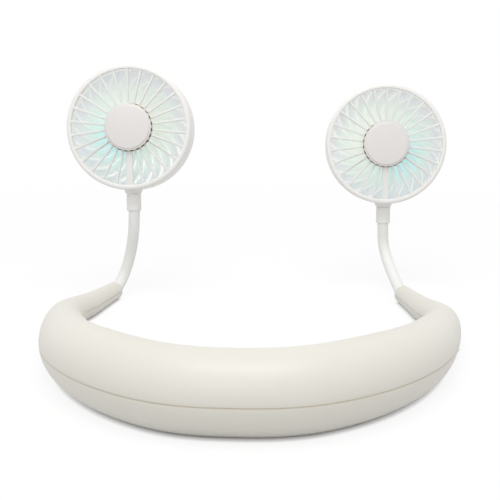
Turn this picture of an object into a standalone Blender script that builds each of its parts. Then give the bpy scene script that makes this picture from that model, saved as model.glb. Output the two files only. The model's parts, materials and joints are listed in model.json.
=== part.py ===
"""Portable neckband fan, modelled in metres with +Z up.

A fat C-shaped band lies on its underside.  Its back is at the origin and its two arms run
towards +Y, curl inward and taper.  A gooseneck of short ball-ended links rises from each arm
tip and carries a round fan head that faces back over the band, towards -Y.

The origin is the middle of the flat land under the back of the band.
"""

import math

import bmesh
import bpy
import numpy as np
from mathutils import Matrix, Vector

# Clearances between pieces
CLEARANCE = 0.0003           # between pieces that touch on the real object
RUNNING_CLEARANCE = 0.0001   # radial, round the motor shaft
OVERRUN = 0.002              # how far a cutter runs past the face it opens

# Band: a tube that bends in plan and tapers to its tips
BAND_REACH = 0.103           # widest half width of the centre line
BAND_DEPTH = 0.2037          # centre line, from the back to a tip
BACK_RADIUS = 0.0177
TIP_RADIUS = 0.0055
BAND_WALL = 0.0016
LAND_DEPTH = 0.0005          # how much of the round underside is flattened
LIP_HEIGHT = 0.0012          # tongue of the lower shell that stands inside the upper one
ACROSS_SHARES = (0.0, 0.299, 0.598, 0.823, 0.996, 0.943, 0.879)
ALONG_SHARES = (0.0, 0.027, 0.145, 0.334, 0.643, 0.824, 1.0)
FATNESS_SHARES = (1.0, 1.0, 0.942, 0.724, 0.307, 0.111, 0.0)
BAND_STATIONS = 26           # lengths of shell from tip to tip
SPLINE_STEPS = 60            # samples between two knots of the centre line

# Gooseneck links
NECK_RADIUS = 0.0035
NECK_LENGTH = 0.0540         # from the first ball centre to the last
NECK_TOP_PULL = 0.011        # how long the curve's top end keeps to the head's direction
NECK_LINKS = 5
BALL_RADIUS = 0.0050         # domed end of each link
NECK_STANDOFF = 0.0038       # first ball centre beyond the arm tip
ROOT_LENGTH = 0.0060         # root rod inside the arm
ROOT_FLANGE = 0.0003         # how far its flange stands out
ROOT_FLANGE_LENGTH = 0.0012
# From the first ball centre to the last: towards the middle, forward, up
LEFT_NECK_INWARD = 0.0129
LEFT_NECK_FORWARD = -0.0022
LEFT_NECK_RISE = 0.0483
LEFT_HEAD_TILT = math.radians(8.3)
LEFT_HEAD_ROLL = math.radians(-1.5)
RIGHT_NECK_INWARD = 0.0096
RIGHT_NECK_FORWARD = 0.0303
RIGHT_NECK_RISE = 0.0361
RIGHT_HEAD_TILT = math.radians(7.1)
RIGHT_HEAD_ROLL = math.radians(0.0)
# How each gooseneck leaves its arm: up from the arm's direction, and turned inward from it
LEFT_NECK_LIFT = math.radians(31.0)
LEFT_NECK_TURN = math.radians(9.0)
RIGHT_NECK_LIFT = math.radians(24.0)
RIGHT_NECK_TURN = math.radians(1.0)

# Sleeve between gooseneck and head
SLEEVE_RADIUS = 0.0045
SLEEVE_LENGTH = 0.0104
SPIGOT_RADIUS = 0.0030
SPIGOT_LENGTH = 0.0040

# Head casing
HEAD_RADIUS = 0.0380
HEAD_DEPTH = 0.0260
HEAD_WALL = 0.0018
FRONT_ROUND = 0.0015
BACK_ROUND = 0.0040
SKIRT_DEPTH = 0.0065         # front grille's side wall
JOINT_LIP = 0.0018           # lip of the rear shell inside the skirt
RING_WIDTH = 0.0028          # face of the front ring
BOSS_RADIUS = 0.0058
BOSS_LENGTH = 0.0020

# Front grille
SPOKES = 26
SPOKE_HUB_WIDTH = 0.0012
SPOKE_RIM_WIDTH = 0.0017
STEM_SPOKE_WIDTH = 0.0042
SPOKE_DEPTH = 0.0022
SPOKE_RECESS = 0.0003        # spokes lie below the face of the ring
HUB_RADIUS = 0.0148
HUB_WALL = 0.0015
CUP_RADIUS = 0.0123          # pocket for the scented pad
CUP_DEPTH = 0.0060
SLOT_CORNER = 0.0010
CORNER_SHARE = 0.4           # most of a slot's width that one corner may take
RING_LEDGE = 0.0006          # spoke plate seen inside the raised ring

# Rear grille and motor cup
REAR_SPOKES = 24
REAR_SPOKE_WIDTH = 0.0012
REAR_SWEEP = math.radians(-42.0)
REAR_PLATE = 0.0016
REAR_HUB_RADIUS = 0.0165
REAR_RIM_WIDTH = 0.0045
REAR_SLOT_CORNER = 0.0012
REAR_BEND_SHARE = 0.5        # part of a slot's length at which its swept walls bend
PLATE_INSET = 0.0001         # keeps a plate's faces inside the ring that carries it
MOTOR_CUP_WALL = 0.0012
MOTOR_CUP_HEIGHT = 0.0085

# Motor and shaft
MOTOR_RADIUS = 0.0080
MOTOR_LENGTH = 0.0092
MOTOR_NOSE_RADIUS = 0.0030
MOTOR_NOSE_LENGTH = 0.0008
SHAFT_RADIUS = 0.0010
SHAFT_SEAT = 0.0008          # motor floor under the shaft

# Impeller
BLADES = 24
BLADE_GAP = 0.0012           # from the blades' tips to the wall of the casing
IMPELLER_RADIUS = HEAD_RADIUS - HEAD_WALL - BLADE_GAP
IMPELLER_HUB_RADIUS = 0.0125
IMPELLER_HUB_WALL = 0.0021
IMPELLER_TOP = 0.0040        # above the middle plane of the head
IMPELLER_HUB_HEIGHT = 0.0128
IMPELLER_ROUND = 0.0012
IMPELLER_BOSS_RADIUS = 0.0026
BLADE_THICKNESS = 0.0010
BLADE_CAMBER_SHARE = 0.10    # rise of a blade's hollow, as part of its chord
BLADE_ROOT_CHORD = 0.0100
BLADE_TIP_CHORD = 0.0116
BLADE_ROOT_PITCH = math.radians(62.0)
BLADE_TIP_PITCH = math.radians(40.0)
BLADE_SWEEP = math.radians(-24.0)  # at the tip, growing with the square of the reach
BLADE_RISE = 0.0050          # how far forward of its root a blade's tip stands
BLADE_RADIAL_STEPS = 3
BLADE_CHORD_STEPS = 2

# Lamp ring behind the impeller
LAMP_BOARD_RADIUS = 0.0155
LAMP_BOARD_THICKNESS = 0.0008
LAMPS = 6
LAMP_SIZE = 0.0020
LAMP_HEIGHT = 0.0006

# Twist-off cap with its pad
CAP_RADIUS = 0.0142
CAP_FACE_RADIUS = 0.0132
CAP_HEIGHT = 0.0030          # above the spokes
CAP_WALL = 0.0014
CAP_STEP = 0.0008            # face above the notched edge
CAP_NOTCHES = 24
NOTCH_WIDTH = 0.0010
NOTCH_DEPTH = 0.0008
NOTCH_LEDGE = 0.0004         # rim left above each notch
CAP_SKIRT = 0.0018
PAD_THICKNESS = 0.0036

# Cells, boards and switches in the band
CELL_RADIUS = 0.00915
CELL_LENGTH = 0.0650
CELL_SPACING = 0.0170        # between the two cells, along the band
CELL_EDGE = 0.0008
CELL_NUB_RADIUS = 0.0028
CELL_NUB_HEIGHT = 0.0010
CRADLE_THICKNESS = 0.0020
CRADLE_INSET = 0.0120        # from a cell's end to its cradle
CRADLE_DROP = 0.0010         # cradle top below the middle of the band
BOARD_THICKNESS = 0.0012
MAIN_BOARD_LENGTH = 0.0440
MAIN_BOARD_WIDTH = 0.0140
MAIN_BOARD_GAP = 0.0010      # above the cells
MAIN_BOARD_FORWARD = 0.0015
MAIN_POST_SPACING = 0.0290
CHIP_SIZE = 0.0070
CHIP_HEIGHT = 0.0010
COIL_SIZE = 0.0060
COIL_HEIGHT = 0.0028
POST_RADIUS = 0.0013

# Buttons, on the outer side of the arms below the seam
BUTTON_PLACE = 0.140         # along the band from the middle of the back
BUTTON_DROP = math.radians(30.0)
BUTTON_RADIUS = 0.0029
BUTTON_PROUD = 0.0008
BUTTON_EDGE = 0.0004
BUTTON_FLANGE = 0.0010
BUTTON_FLANGE_THICKNESS = 0.0009
BUTTON_STEM_RADIUS = 0.0011
BUTTON_STEM_LENGTH = 0.0006
BUTTON_TRAVEL = 0.0006
SWITCH_SIZE = 0.0044
SWITCH_HEIGHT = 0.0016
SWITCH_BOARD_WIDTH = 0.0060

# Charge lamp window, towards the back from the speed button
LENS_RADIUS = 0.0010
LENS_SPACING = 0.0095
LENS_LENGTH = 0.0032
LENS_FLANGE = 0.0006

# Charging socket, on the left arm
SOCKET_PLACE = 0.112
SOCKET_WIDTH = 0.0089
SOCKET_THICKNESS = 0.0032
SOCKET_DEPTH = 0.0070
SOCKET_WALL = 0.0003
SOCKET_FLOOR = 0.0010
SOCKET_RECESS = 0.0009       # mouth behind the outer surface
TONGUE_WIDTH = 0.0066
TONGUE_THICKNESS = 0.0007
CHARGE_BOARD_WIDTH = 0.0070

# Shell screws
SCREW_PLACES = (0.088, 0.192)   # along the band, on both arms
SCREW_HEAD_RADIUS = 0.0018
SCREW_HEAD_HEIGHT = 0.0012
SCREW_SHANK_RADIUS = 0.0009
SCREW_RECESS = 0.0006        # head above the land
SCREW_GRIP = 0.0030          # shank inside the upper post
SCREW_BOSS_WALL = 0.0009

# Facets
BAND_ARC_STEPS = 4           # per quarter of the outside
BAND_BORE_STEPS = 6
RING_STEPS = 34
CAP_STEPS = 26
HUB_STEPS = 16
LINK_STEPS = 12
SMALL_STEPS = 8
DOME_STEPS = 2
FLAT_ANGLE = math.radians(0.5)
SHARP_ANGLE = math.radians(35.0)
MERGE_DISTANCE = 0.000001

LEFT = -1
RIGHT = 1
SIDE_NAMES = {LEFT: "left", RIGHT: "right"}


def clear_scene():
    for existing in list(bpy.data.objects):
        bpy.data.objects.remove(existing, do_unlink=True)


def new_collection(name):
    collection = bpy.data.collections.new(name)
    bpy.context.scene.collection.children.link(collection)
    return collection


def make_material(name, color, roughness, metallic=0.0):
    material = bpy.data.materials.new(name)
    material.use_nodes = True
    shader = material.node_tree.nodes["Principled BSDF"]
    shader.inputs["Base Color"].default_value = (*color, 1.0)
    shader.inputs["Roughness"].default_value = roughness
    shader.inputs["Metallic"].default_value = metallic
    return material


clear_scene()
PARTS = new_collection("portable_fan")
TOOLS = new_collection("cutters")

IVORY = make_material("ivory_shell", (0.83, 0.82, 0.76), 0.38)
COOL_WHITE = make_material("gooseneck_white", (0.80, 0.82, 0.81), 0.50)
HEAD_WHITE = make_material("head_white", (0.79, 0.76, 0.74), 0.34)
IRIDESCENT = make_material("blade_mint", (0.62, 0.85, 0.84), 0.15)
FELT = make_material("pad_felt", (0.86, 0.85, 0.80), 0.95)
BOARD_GREEN = make_material("board_green", (0.03, 0.20, 0.08), 0.45)
STEEL = make_material("steel", (0.62, 0.62, 0.63), 0.28, 1.0)
CELL_WRAP = make_material("cell_wrap", (0.08, 0.28, 0.55), 0.35)
LENS_CLEAR = make_material("lens", (0.85, 0.88, 0.90), 0.10)


# Making and cutting objects

def add_object(name, mesh, material, place=None, parent=None):
    made = bpy.data.objects.new(name, mesh)
    PARTS.objects.link(made)
    mesh.materials.clear()
    mesh.materials.append(material)
    made.parent = parent
    if place is not None:
        made.matrix_local = place
    return made


def add_tool(name, mesh, place=None, parent=None):
    tool = bpy.data.objects.new(name, mesh)
    TOOLS.objects.link(tool)
    tool.hide_render = True
    tool.display_type = "WIRE"
    tool.parent = parent
    if place is not None:
        tool.matrix_local = place
    return tool


def add_empty(name, place, parent=None):
    empty = bpy.data.objects.new(name, None)
    PARTS.objects.link(empty)
    empty.empty_display_size = NECK_RADIUS
    empty.parent = parent
    empty.matrix_local = place
    return empty


def combine(target, tool, operation):
    modifier = target.modifiers.new(tool.name, "BOOLEAN")
    modifier.operation = operation
    modifier.solver = "EXACT"
    modifier.object = tool


def merge_flats(made):
    """Joins the flat facets that a union or a cut has split."""
    merge = made.modifiers.new("merge_flats", "DECIMATE")
    merge.decimate_type = "DISSOLVE"
    merge.angle_limit = FLAT_ANGLE


def turned_mesh(name, profile, closed=False):
    """A profile of (radius, height) points, down the outer side, for a Screw modifier."""
    mesh = bpy.data.meshes.new(name)
    edges = [(i, i + 1) for i in range(len(profile) - 1)]
    if closed:
        edges.append((len(profile) - 1, 0))
    mesh.from_pydata([(radius, 0.0, height) for radius, height in profile], edges, [])
    return mesh


def spin(made, steps):
    screw = made.modifiers.new("turned", "SCREW")
    screw.axis = "Z"
    screw.steps = steps
    screw.render_steps = steps
    screw.use_merge_vertices = True
    screw.merge_threshold = MERGE_DISTANCE
    screw.use_normal_calculate = False
    return made


def turned(name, profile, steps, material, place=None, parent=None, closed=False):
    made = add_object(name, turned_mesh(name, profile, closed), material, place, parent)
    return spin(made, steps)


def turned_tool(name, profile, steps, place=None, parent=None, closed=False):
    return spin(add_tool(name, turned_mesh(name, profile, closed), place, parent), steps)


def mesh_from(name, bm):
    bmesh.ops.recalc_face_normals(bm, faces=bm.faces)
    mesh = bpy.data.meshes.new(name)
    bm.to_mesh(mesh)
    bm.free()
    return mesh


def add_box(bm, place, size):
    scale = Matrix.Diagonal((*size, 1.0))
    bmesh.ops.create_cube(bm, size=1.0, matrix=place @ scale)


def loft(bm, rings):
    """A closed skin over sections of equally many points, capped at both ends."""
    rows = [[bm.verts.new(point) for point in ring] for ring in rings]
    for row, following in zip(rows, rows[1:]):
        for i in range(len(row)):
            j = (i + 1) % len(row)
            bm.faces.new((row[i], row[j], following[j], following[i]))
    bm.faces.new(reversed(rows[0]))
    bm.faces.new(rows[-1])


def add_cone(bm, place, low_radius, high_radius, low, high, steps):
    """A cone or cylinder along the local Z of place, from low to high."""
    middle = Matrix.Translation((0.0, 0.0, (low + high) / 2))
    bmesh.ops.create_cone(bm, cap_ends=True, segments=steps, radius1=low_radius,
                          radius2=high_radius, depth=high - low, matrix=place @ middle)


def add_rod(bm, place, radius, low, high, steps=SMALL_STEPS):
    add_cone(bm, place, radius, radius, low, high, steps)


def flat_plate(name, loops, thickness):
    """A flat outline with its holes, filled and extruded evenly about its own plane."""
    curve = bpy.data.curves.new(name, "CURVE")
    curve.dimensions = "2D"
    curve.fill_mode = "BOTH"
    curve.extrude = thickness / 2
    for loop in loops:
        spline = curve.splines.new("POLY")
        spline.points.add(len(loop) - 1)
        for point, (x, y) in zip(spline.points, loop):
            point.co = (x, y, 0.0, 1.0)
        spline.use_cyclic_u = True
    outline = add_tool(name + "_outline", curve)
    depsgraph = bpy.context.evaluated_depsgraph_get()
    mesh = bpy.data.meshes.new_from_object(outline.evaluated_get(depsgraph))
    bpy.data.objects.remove(outline, do_unlink=True)
    bm = bmesh.new()
    bm.from_mesh(mesh)
    bmesh.ops.remove_doubles(bm, verts=bm.verts, dist=MERGE_DISTANCE)
    bpy.data.meshes.remove(mesh)
    return mesh_from(name, bm)


def add_plate(bm, place, outline, low, high):
    """A flat outline in the local XY plane of place, extruded from low to high."""
    plate = flat_plate("plate", [outline], high - low)
    plate.transform(place @ Matrix.Translation((0.0, 0.0, (low + high) / 2)))
    bm.from_mesh(plate)
    bpy.data.meshes.remove(plate)


def shade(made):
    made.data.shade_smooth()
    made.data.set_sharp_from_angle(angle=SHARP_ANGLE)


# The band's centre line

def mirrored_knots(shares, reach, sign):
    """Knots from one before the middle of the back to one past the tip."""
    knots = [share * reach for share in shares]
    beyond = 3 * knots[-1] - 3 * knots[-2] + knots[-3]
    return [sign * knots[1]] + knots + [beyond]


def smooth_values(knots):
    """A Catmull-Rom spline through the knots, sampled evenly in its own parameter."""
    values = []
    for a, b, c, d in zip(knots, knots[1:], knots[2:], knots[3:]):
        for t in np.arange(SPLINE_STEPS) / SPLINE_STEPS:
            values.append(0.5 * (2 * b + (c - a) * t + (2 * a - 5 * b + 4 * c - d) * t ** 2
                                 + (3 * b - a - 3 * c + d) * t ** 3))
    values.append(knots[-2])
    return np.array(values)


TAPER = BACK_RADIUS - TIP_RADIUS
LINE_X = smooth_values(mirrored_knots(ACROSS_SHARES, BAND_REACH, -1))
LINE_Y = smooth_values(mirrored_knots(ALONG_SHARES, BAND_DEPTH, 1))
LINE_R = TIP_RADIUS + smooth_values(mirrored_knots(FATNESS_SHARES, TAPER, 1))
LINE_S = np.concatenate([[0.0], np.cumsum(np.hypot(np.diff(LINE_X), np.diff(LINE_Y)))])
HALF_LENGTH = float(LINE_S[-1])


class Station:
    """One place along the band: its centre, its radius and its three directions."""

    def __init__(self, place):
        side = -1 if place < 0 else 1
        along = abs(place)
        step = HALF_LENGTH / len(LINE_S)
        low = max(along - step, 0.0)
        high = min(along + step, HALF_LENGTH)
        change_x = np.interp(high, LINE_S, LINE_X) - np.interp(low, LINE_S, LINE_X)
        change_y = np.interp(high, LINE_S, LINE_Y) - np.interp(low, LINE_S, LINE_Y)
        if low == 0.0:
            change_y = 0.0
        self.radius = float(np.interp(along, LINE_S, LINE_R))
        self.height = self.radius - LAND_DEPTH
        self.centre = Vector((side * np.interp(along, LINE_S, LINE_X),
                              np.interp(along, LINE_S, LINE_Y), self.height))
        # towards the arm's tip, and away from the wearer
        self.forward = Vector((side * change_x, change_y, 0.0)).normalized()
        self.outward = Vector((side * change_y, -change_x, 0.0)).normalized()

    def point(self, out, up):
        return self.centre + out * self.outward + Vector((0.0, 0.0, up))

    def outward_place(self, drop):
        """Local Z points out of the band, drop below level, and local X along the arm."""
        z_axis = self.outward * math.cos(drop) - Vector((0.0, 0.0, math.sin(drop)))
        return place_from(self.centre, self.forward, z_axis)


def place_from(origin, x_axis, z_axis):
    z_axis = z_axis.normalized()
    x_axis = (x_axis - x_axis.dot(z_axis) * z_axis).normalized()
    y_axis = z_axis.cross(x_axis)
    place = Matrix((x_axis, y_axis, z_axis)).transposed().to_4x4()
    place.translation = origin
    return place


# Band shells: sections swept from tip to tip

def arc(radius, start, end, steps):
    turn = (end - start) / steps
    return [(radius * math.cos(start + turn * i), radius * math.sin(start + turn * i))
            for i in range(steps + 1)]


def lower_section(station):
    """Outside from seam to seam past the flat land, then back along the bore."""
    radius = station.radius
    bore = radius - BAND_WALL
    gap = CLEARANCE / 2
    tongue = radius - BAND_WALL / 2
    land = math.acos((radius - LAND_DEPTH) / radius)
    quarter = arc(radius, 0.0, land - math.pi / 2, BAND_ARC_STEPS)[1:]
    outer = [(radius, -gap)] + quarter + [(-out, up) for out, up in reversed(quarter)]
    outer.append((-radius, -gap))
    inner = arc(bore, -math.pi, 0.0, BAND_BORE_STEPS)
    return (outer
            + [(-tongue, -gap), (-tongue, LIP_HEIGHT), (-bore, LIP_HEIGHT)]
            + inner
            + [(bore, LIP_HEIGHT), (tongue, LIP_HEIGHT), (tongue, -gap)])


def upper_section(station):
    radius = station.radius
    bore = radius - BAND_WALL
    gap = CLEARANCE / 2
    groove = radius - BAND_WALL / 2 + CLEARANCE
    groove_top = LIP_HEIGHT + CLEARANCE
    start = math.asin(groove_top / bore)
    outer = arc(radius, 0.0, math.pi, 2 * BAND_ARC_STEPS)[1:-1]
    inner = arc(bore, math.pi - start, start, BAND_BORE_STEPS)
    return ([(radius, gap)] + outer + [(-radius, gap)]
            + [(-groove, gap), (-groove, groove_top)]
            + inner
            + [(groove, groove_top), (groove, gap)])


def swept_mesh(name, section):
    stations = [Station(float(place))
                for place in np.linspace(-HALF_LENGTH, HALF_LENGTH, BAND_STATIONS + 1)]
    bm = bmesh.new()
    loft(bm, [[station.point(out, up) for out, up in section(station)]
              for station in stations])
    return mesh_from(name, bm)


def cell_ends(side):
    near = CELL_SPACING / 2
    return Station(side * near), Station(side * (near + CELL_LENGTH))


def cell_place(side):
    """A straight cell lies midway between its chord and the bend of the band."""
    near, far = cell_ends(side)
    middle = Station(side * (CELL_SPACING + CELL_LENGTH) / 2)
    chord_middle = (near.centre + far.centre) / 2
    centre = (chord_middle + middle.centre) / 2
    centre.z = near.height
    direction = far.centre - near.centre
    direction.z = 0.0
    return place_from(centre, Vector((0.0, 0.0, 1.0)), direction)


def add_cradle(bm, place):
    """A rib square to a cell, hollowed to seat it, with its rim in the lower shell's wall."""
    station = Station(place)
    cell = cell_place(-1 if place < 0 else 1)
    axis = Vector(cell.col[2][:3])
    across = axis.cross(Vector((0.0, 0.0, 1.0)))
    centre = cell.translation + axis * (station.centre - cell.translation).dot(axis)
    offset = (station.centre - centre).dot(across)
    drop = station.height - centre.z
    reach = station.radius - BAND_WALL / 2
    seat = CELL_RADIUS + CLEARANCE
    rim_start = -math.asin(CRADLE_DROP / reach)
    seat_start = -math.asin((CRADLE_DROP - drop) / seat)
    rim = [(offset + out, drop + up)
           for out, up in arc(reach, rim_start, -math.pi - rim_start, 2 * BAND_ARC_STEPS)]
    hollow = arc(seat / math.cos(math.pi / BAND_ARC_STEPS / 4), -math.pi - seat_start,
                 seat_start, 2 * BAND_ARC_STEPS)
    add_plate(bm, place_from(centre, across, -axis), rim + hollow,
              -CRADLE_THICKNESS / 2, CRADLE_THICKNESS / 2)


def bore_reach(station, across):
    """Distance from the band's centre to the bore, at a place across the direction."""
    facet = math.cos(math.pi / BAND_BORE_STEPS / 2)
    bore = (station.radius - BAND_WALL) * facet
    return math.sqrt(bore ** 2 - across ** 2)


def button_levels(station):
    """Heights of a button, its switch and its board above the band's centre."""
    flange_radius = BUTTON_RADIUS + BUTTON_FLANGE
    top = station.radius + BUTTON_PROUD
    flange_top = bore_reach(station, flange_radius) - CLEARANCE
    flange_low = flange_top - BUTTON_FLANGE_THICKNESS
    stem_low = flange_low - BUTTON_STEM_LENGTH
    switch_top = stem_low - BUTTON_TRAVEL - CLEARANCE
    board_top = switch_top - SWITCH_HEIGHT
    return top, flange_top, flange_low, stem_low, switch_top, board_top


def switch_post_offset():
    """Posts stand just clear of the button's flange, on either side of it along the arm."""
    return BUTTON_RADIUS + BUTTON_FLANGE + 2 * CLEARANCE + POST_RADIUS


def charge_post_offset():
    return SOCKET_WIDTH / 2 + 2 * CLEARANCE + POST_RADIUS


def charge_board_top(station):
    return station.radius - SOCKET_RECESS - SOCKET_DEPTH - CLEARANCE


def stadium(width, thickness):
    radius = thickness / 2
    straight = width / 2 - radius
    right = arc(radius, -math.pi / 2, math.pi / 2, 6)
    return ([(straight + x, y) for x, y in right]
            + [(-straight - x, -y) for x, y in right])


def add_stadium(bm, place, width, thickness, low, high):
    add_plate(bm, place, stadium(width, thickness), low, high)


def lens_station():
    return Station(RIGHT * (BUTTON_PLACE - LENS_SPACING))


def level_place(station):
    return place_from(station.point(0.0, -station.height), station.forward,
                      Vector((0.0, 0.0, 1.0)))


def screw_boss_radius():
    return SCREW_HEAD_RADIUS + CLEARANCE + SCREW_BOSS_WALL


def screw_stations():
    return [Station(side * place) for side in (LEFT, RIGHT) for place in SCREW_PLACES]


def shell_ribs():
    """Cradles for the cells, posts for the small boards and bosses for the screws."""
    bm = bmesh.new()
    near = CELL_SPACING / 2 + CRADLE_INSET
    far = CELL_SPACING / 2 + CELL_LENGTH - CRADLE_INSET
    posts = []
    for side in (LEFT, RIGHT):
        add_cradle(bm, side * near)
        add_cradle(bm, side * far)
        button = Station(side * BUTTON_PLACE)
        posts.append((button, switch_post_offset(), button_levels(button)[-1]))
    socket = Station(LEFT * SOCKET_PLACE)
    posts.append((socket, charge_post_offset(), charge_board_top(socket)))
    for station, offset, board_top in posts:
        place = station.outward_place(BUTTON_DROP)
        for end in (-1, 1):
            shift = Matrix.Translation((end * offset, 0.0, 0.0))
            add_rod(bm, place @ shift, POST_RADIUS, board_top + CLEARANCE,
                    station.radius - BAND_WALL / 2)
    for station in screw_stations():
        add_rod(bm, level_place(station), screw_boss_radius(), BAND_WALL / 2,
                station.height - CLEARANCE)
    return mesh_from("lower_shell_ribs", bm)


def shell_cuts():
    """Holes for the buttons, the lens and the socket."""
    bm = bmesh.new()
    for side in (LEFT, RIGHT):
        button = Station(side * BUTTON_PLACE)
        add_rod(bm, button.outward_place(BUTTON_DROP), BUTTON_RADIUS + CLEARANCE,
                bore_reach(button, 0.0) - BAND_WALL, button.radius + OVERRUN, HUB_STEPS)
    lens = lens_station()
    add_rod(bm, lens.outward_place(BUTTON_DROP), LENS_RADIUS + CLEARANCE,
            bore_reach(lens, 0.0) - BAND_WALL, lens.radius + OVERRUN)
    socket = Station(LEFT * SOCKET_PLACE)
    add_stadium(bm, socket.outward_place(BUTTON_DROP), SOCKET_WIDTH + 2 * CLEARANCE,
                SOCKET_THICKNESS + 2 * CLEARANCE, bore_reach(socket, 0.0) - BAND_WALL,
                socket.radius + OVERRUN)
    return mesh_from("lower_shell_cuts", bm)


def screw_holes(shell):
    """Counterbored holes up through the lower shell's bosses."""
    seat = SCREW_RECESS + SCREW_HEAD_HEIGHT + CLEARANCE
    head = SCREW_HEAD_RADIUS + CLEARANCE
    shank = SCREW_SHANK_RADIUS + CLEARANCE
    for number, station in enumerate(screw_stations(), start=1):
        top = station.height + OVERRUN
        profile = [(0.0, top), (shank, top), (shank, seat), (head, seat), (head, -OVERRUN),
                   (0.0, -OVERRUN)]
        hole = turned_tool(f"screw_hole_{number}", profile, SMALL_STEPS, level_place(station))
        combine(shell, hole, "DIFFERENCE")


def lower_shell():
    shell = add_object("lower_shell", swept_mesh("lower_shell", lower_section), IVORY)
    combine(shell, add_tool("lower_shell_ribs", shell_ribs()), "UNION")
    combine(shell, add_tool("lower_shell_cuts", shell_cuts()), "DIFFERENCE")
    screw_holes(shell)
    merge_flats(shell)
    shade(shell)


def main_board_height():
    return Station(0.0).height + CELL_RADIUS + MAIN_BOARD_GAP


def upper_shell():
    shell = add_object("upper_shell", swept_mesh("upper_shell", upper_section), IVORY)
    added = bmesh.new()
    back = Station(0.0)
    board_top = main_board_height() + BOARD_THICKNESS
    for end in (-1, 1):
        place = Matrix.Translation((end * MAIN_POST_SPACING / 2, MAIN_BOARD_FORWARD, 0.0))
        add_rod(added, place, POST_RADIUS, board_top + CLEARANCE,
                back.height + back.radius - BAND_WALL)
    for station in screw_stations():
        add_rod(added, level_place(station), screw_boss_radius(), station.height + CLEARANCE,
                station.height + station.radius - BAND_WALL / 2)
    combine(shell, add_tool("upper_shell_posts", mesh_from("upper_shell_posts", added)), "UNION")
    removed = bmesh.new()
    for station in screw_stations():
        add_rod(removed, level_place(station), SCREW_SHANK_RADIUS + RUNNING_CLEARANCE,
                station.height - OVERRUN, station.height + SCREW_GRIP + CLEARANCE)
    combine(shell, add_tool("upper_shell_cuts", mesh_from("upper_shell_cuts", removed)),
            "DIFFERENCE")
    merge_flats(shell)
    shade(shell)


def shell_screws():
    for number, station in enumerate(screw_stations(), start=1):
        head_low = SCREW_RECESS
        head_top = head_low + SCREW_HEAD_HEIGHT
        tip = station.height + SCREW_GRIP
        profile = [(0.0, tip), (SCREW_SHANK_RADIUS / 2, tip),
                   (SCREW_SHANK_RADIUS, tip - SCREW_SHANK_RADIUS),
                   (SCREW_SHANK_RADIUS, head_top), (SCREW_HEAD_RADIUS, head_top),
                   (SCREW_HEAD_RADIUS, head_low), (0.0, head_low)]
        turned(f"shell_screw_{number}", profile, SMALL_STEPS, STEEL, level_place(station))


def battery_cells():
    for side in (LEFT, RIGHT):
        half = CELL_LENGTH / 2
        profile = [(0.0, half), (CELL_NUB_RADIUS, half),
                   (CELL_NUB_RADIUS, half - CELL_NUB_HEIGHT),
                   (CELL_RADIUS - CELL_EDGE, half - CELL_NUB_HEIGHT),
                   (CELL_RADIUS, half - CELL_NUB_HEIGHT - CELL_EDGE),
                   (CELL_RADIUS, -half + CELL_EDGE), (CELL_RADIUS - CELL_EDGE, -half),
                   (0.0, -half)]
        turned(f"battery_cell_{SIDE_NAMES[side]}", profile, HUB_STEPS, CELL_WRAP,
               cell_place(side))


def main_board():
    low = main_board_height()
    bm = bmesh.new()
    add_box(bm, Matrix.Translation((0.0, MAIN_BOARD_FORWARD, low + BOARD_THICKNESS / 2)),
            (MAIN_BOARD_LENGTH, MAIN_BOARD_WIDTH, BOARD_THICKNESS))
    board = add_object("main_board", mesh_from("main_board", bm), BOARD_GREEN)
    top = low + BOARD_THICKNESS
    sink = BOARD_THICKNESS / 2
    fitted = bmesh.new()
    for x, size, height in ((-CHIP_SIZE / 2, CHIP_SIZE, CHIP_HEIGHT),
                            (COIL_SIZE, COIL_SIZE, COIL_HEIGHT)):
        place = Matrix.Translation((x, MAIN_BOARD_FORWARD, top + (height - sink) / 2))
        add_box(fitted, place, (size, size, height + sink))
    combine(board, add_tool("main_board_parts", mesh_from("main_board_parts", fitted)), "UNION")


# Buttons, switches, lens and socket

def button_name(side):
    return "speed" if side == RIGHT else "light"


def buttons():
    for side in (LEFT, RIGHT):
        station = Station(side * BUTTON_PLACE)
        top, flange_top, flange_low, stem_low, _, _ = button_levels(station)
        flange_radius = BUTTON_RADIUS + BUTTON_FLANGE
        profile = [(0.0, top), (BUTTON_RADIUS - BUTTON_EDGE, top),
                   (BUTTON_RADIUS, top - BUTTON_EDGE), (BUTTON_RADIUS, flange_top),
                   (flange_radius, flange_top), (flange_radius, flange_low),
                   (BUTTON_STEM_RADIUS, flange_low), (BUTTON_STEM_RADIUS, stem_low),
                   (0.0, stem_low)]
        turned(f"{button_name(side)}_button", profile, HUB_STEPS, HEAD_WHITE,
               station.outward_place(BUTTON_DROP))


def switches():
    for side in (LEFT, RIGHT):
        station = Station(side * BUTTON_PLACE)
        switch_top, board_top = button_levels(station)[-2:]
        board_low = board_top - BOARD_THICKNESS
        bm = bmesh.new()
        add_box(bm, Matrix.Translation((0.0, 0.0, (board_top + board_low) / 2)),
                (2 * (switch_post_offset() + POST_RADIUS), SWITCH_BOARD_WIDTH, BOARD_THICKNESS))
        name = f"{button_name(side)}_switch"
        place = station.outward_place(BUTTON_DROP)
        board = add_object(name, mesh_from(name, bm), BOARD_GREEN, place)
        body = bmesh.new()
        body_low = (board_top + board_low) / 2
        add_box(body, place @ Matrix.Translation((0.0, 0.0, (switch_top + body_low) / 2)),
                (SWITCH_SIZE, SWITCH_SIZE, switch_top - body_low))
        combine(board, add_tool(name + "_body", mesh_from(name + "_body", body)), "UNION")


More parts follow.
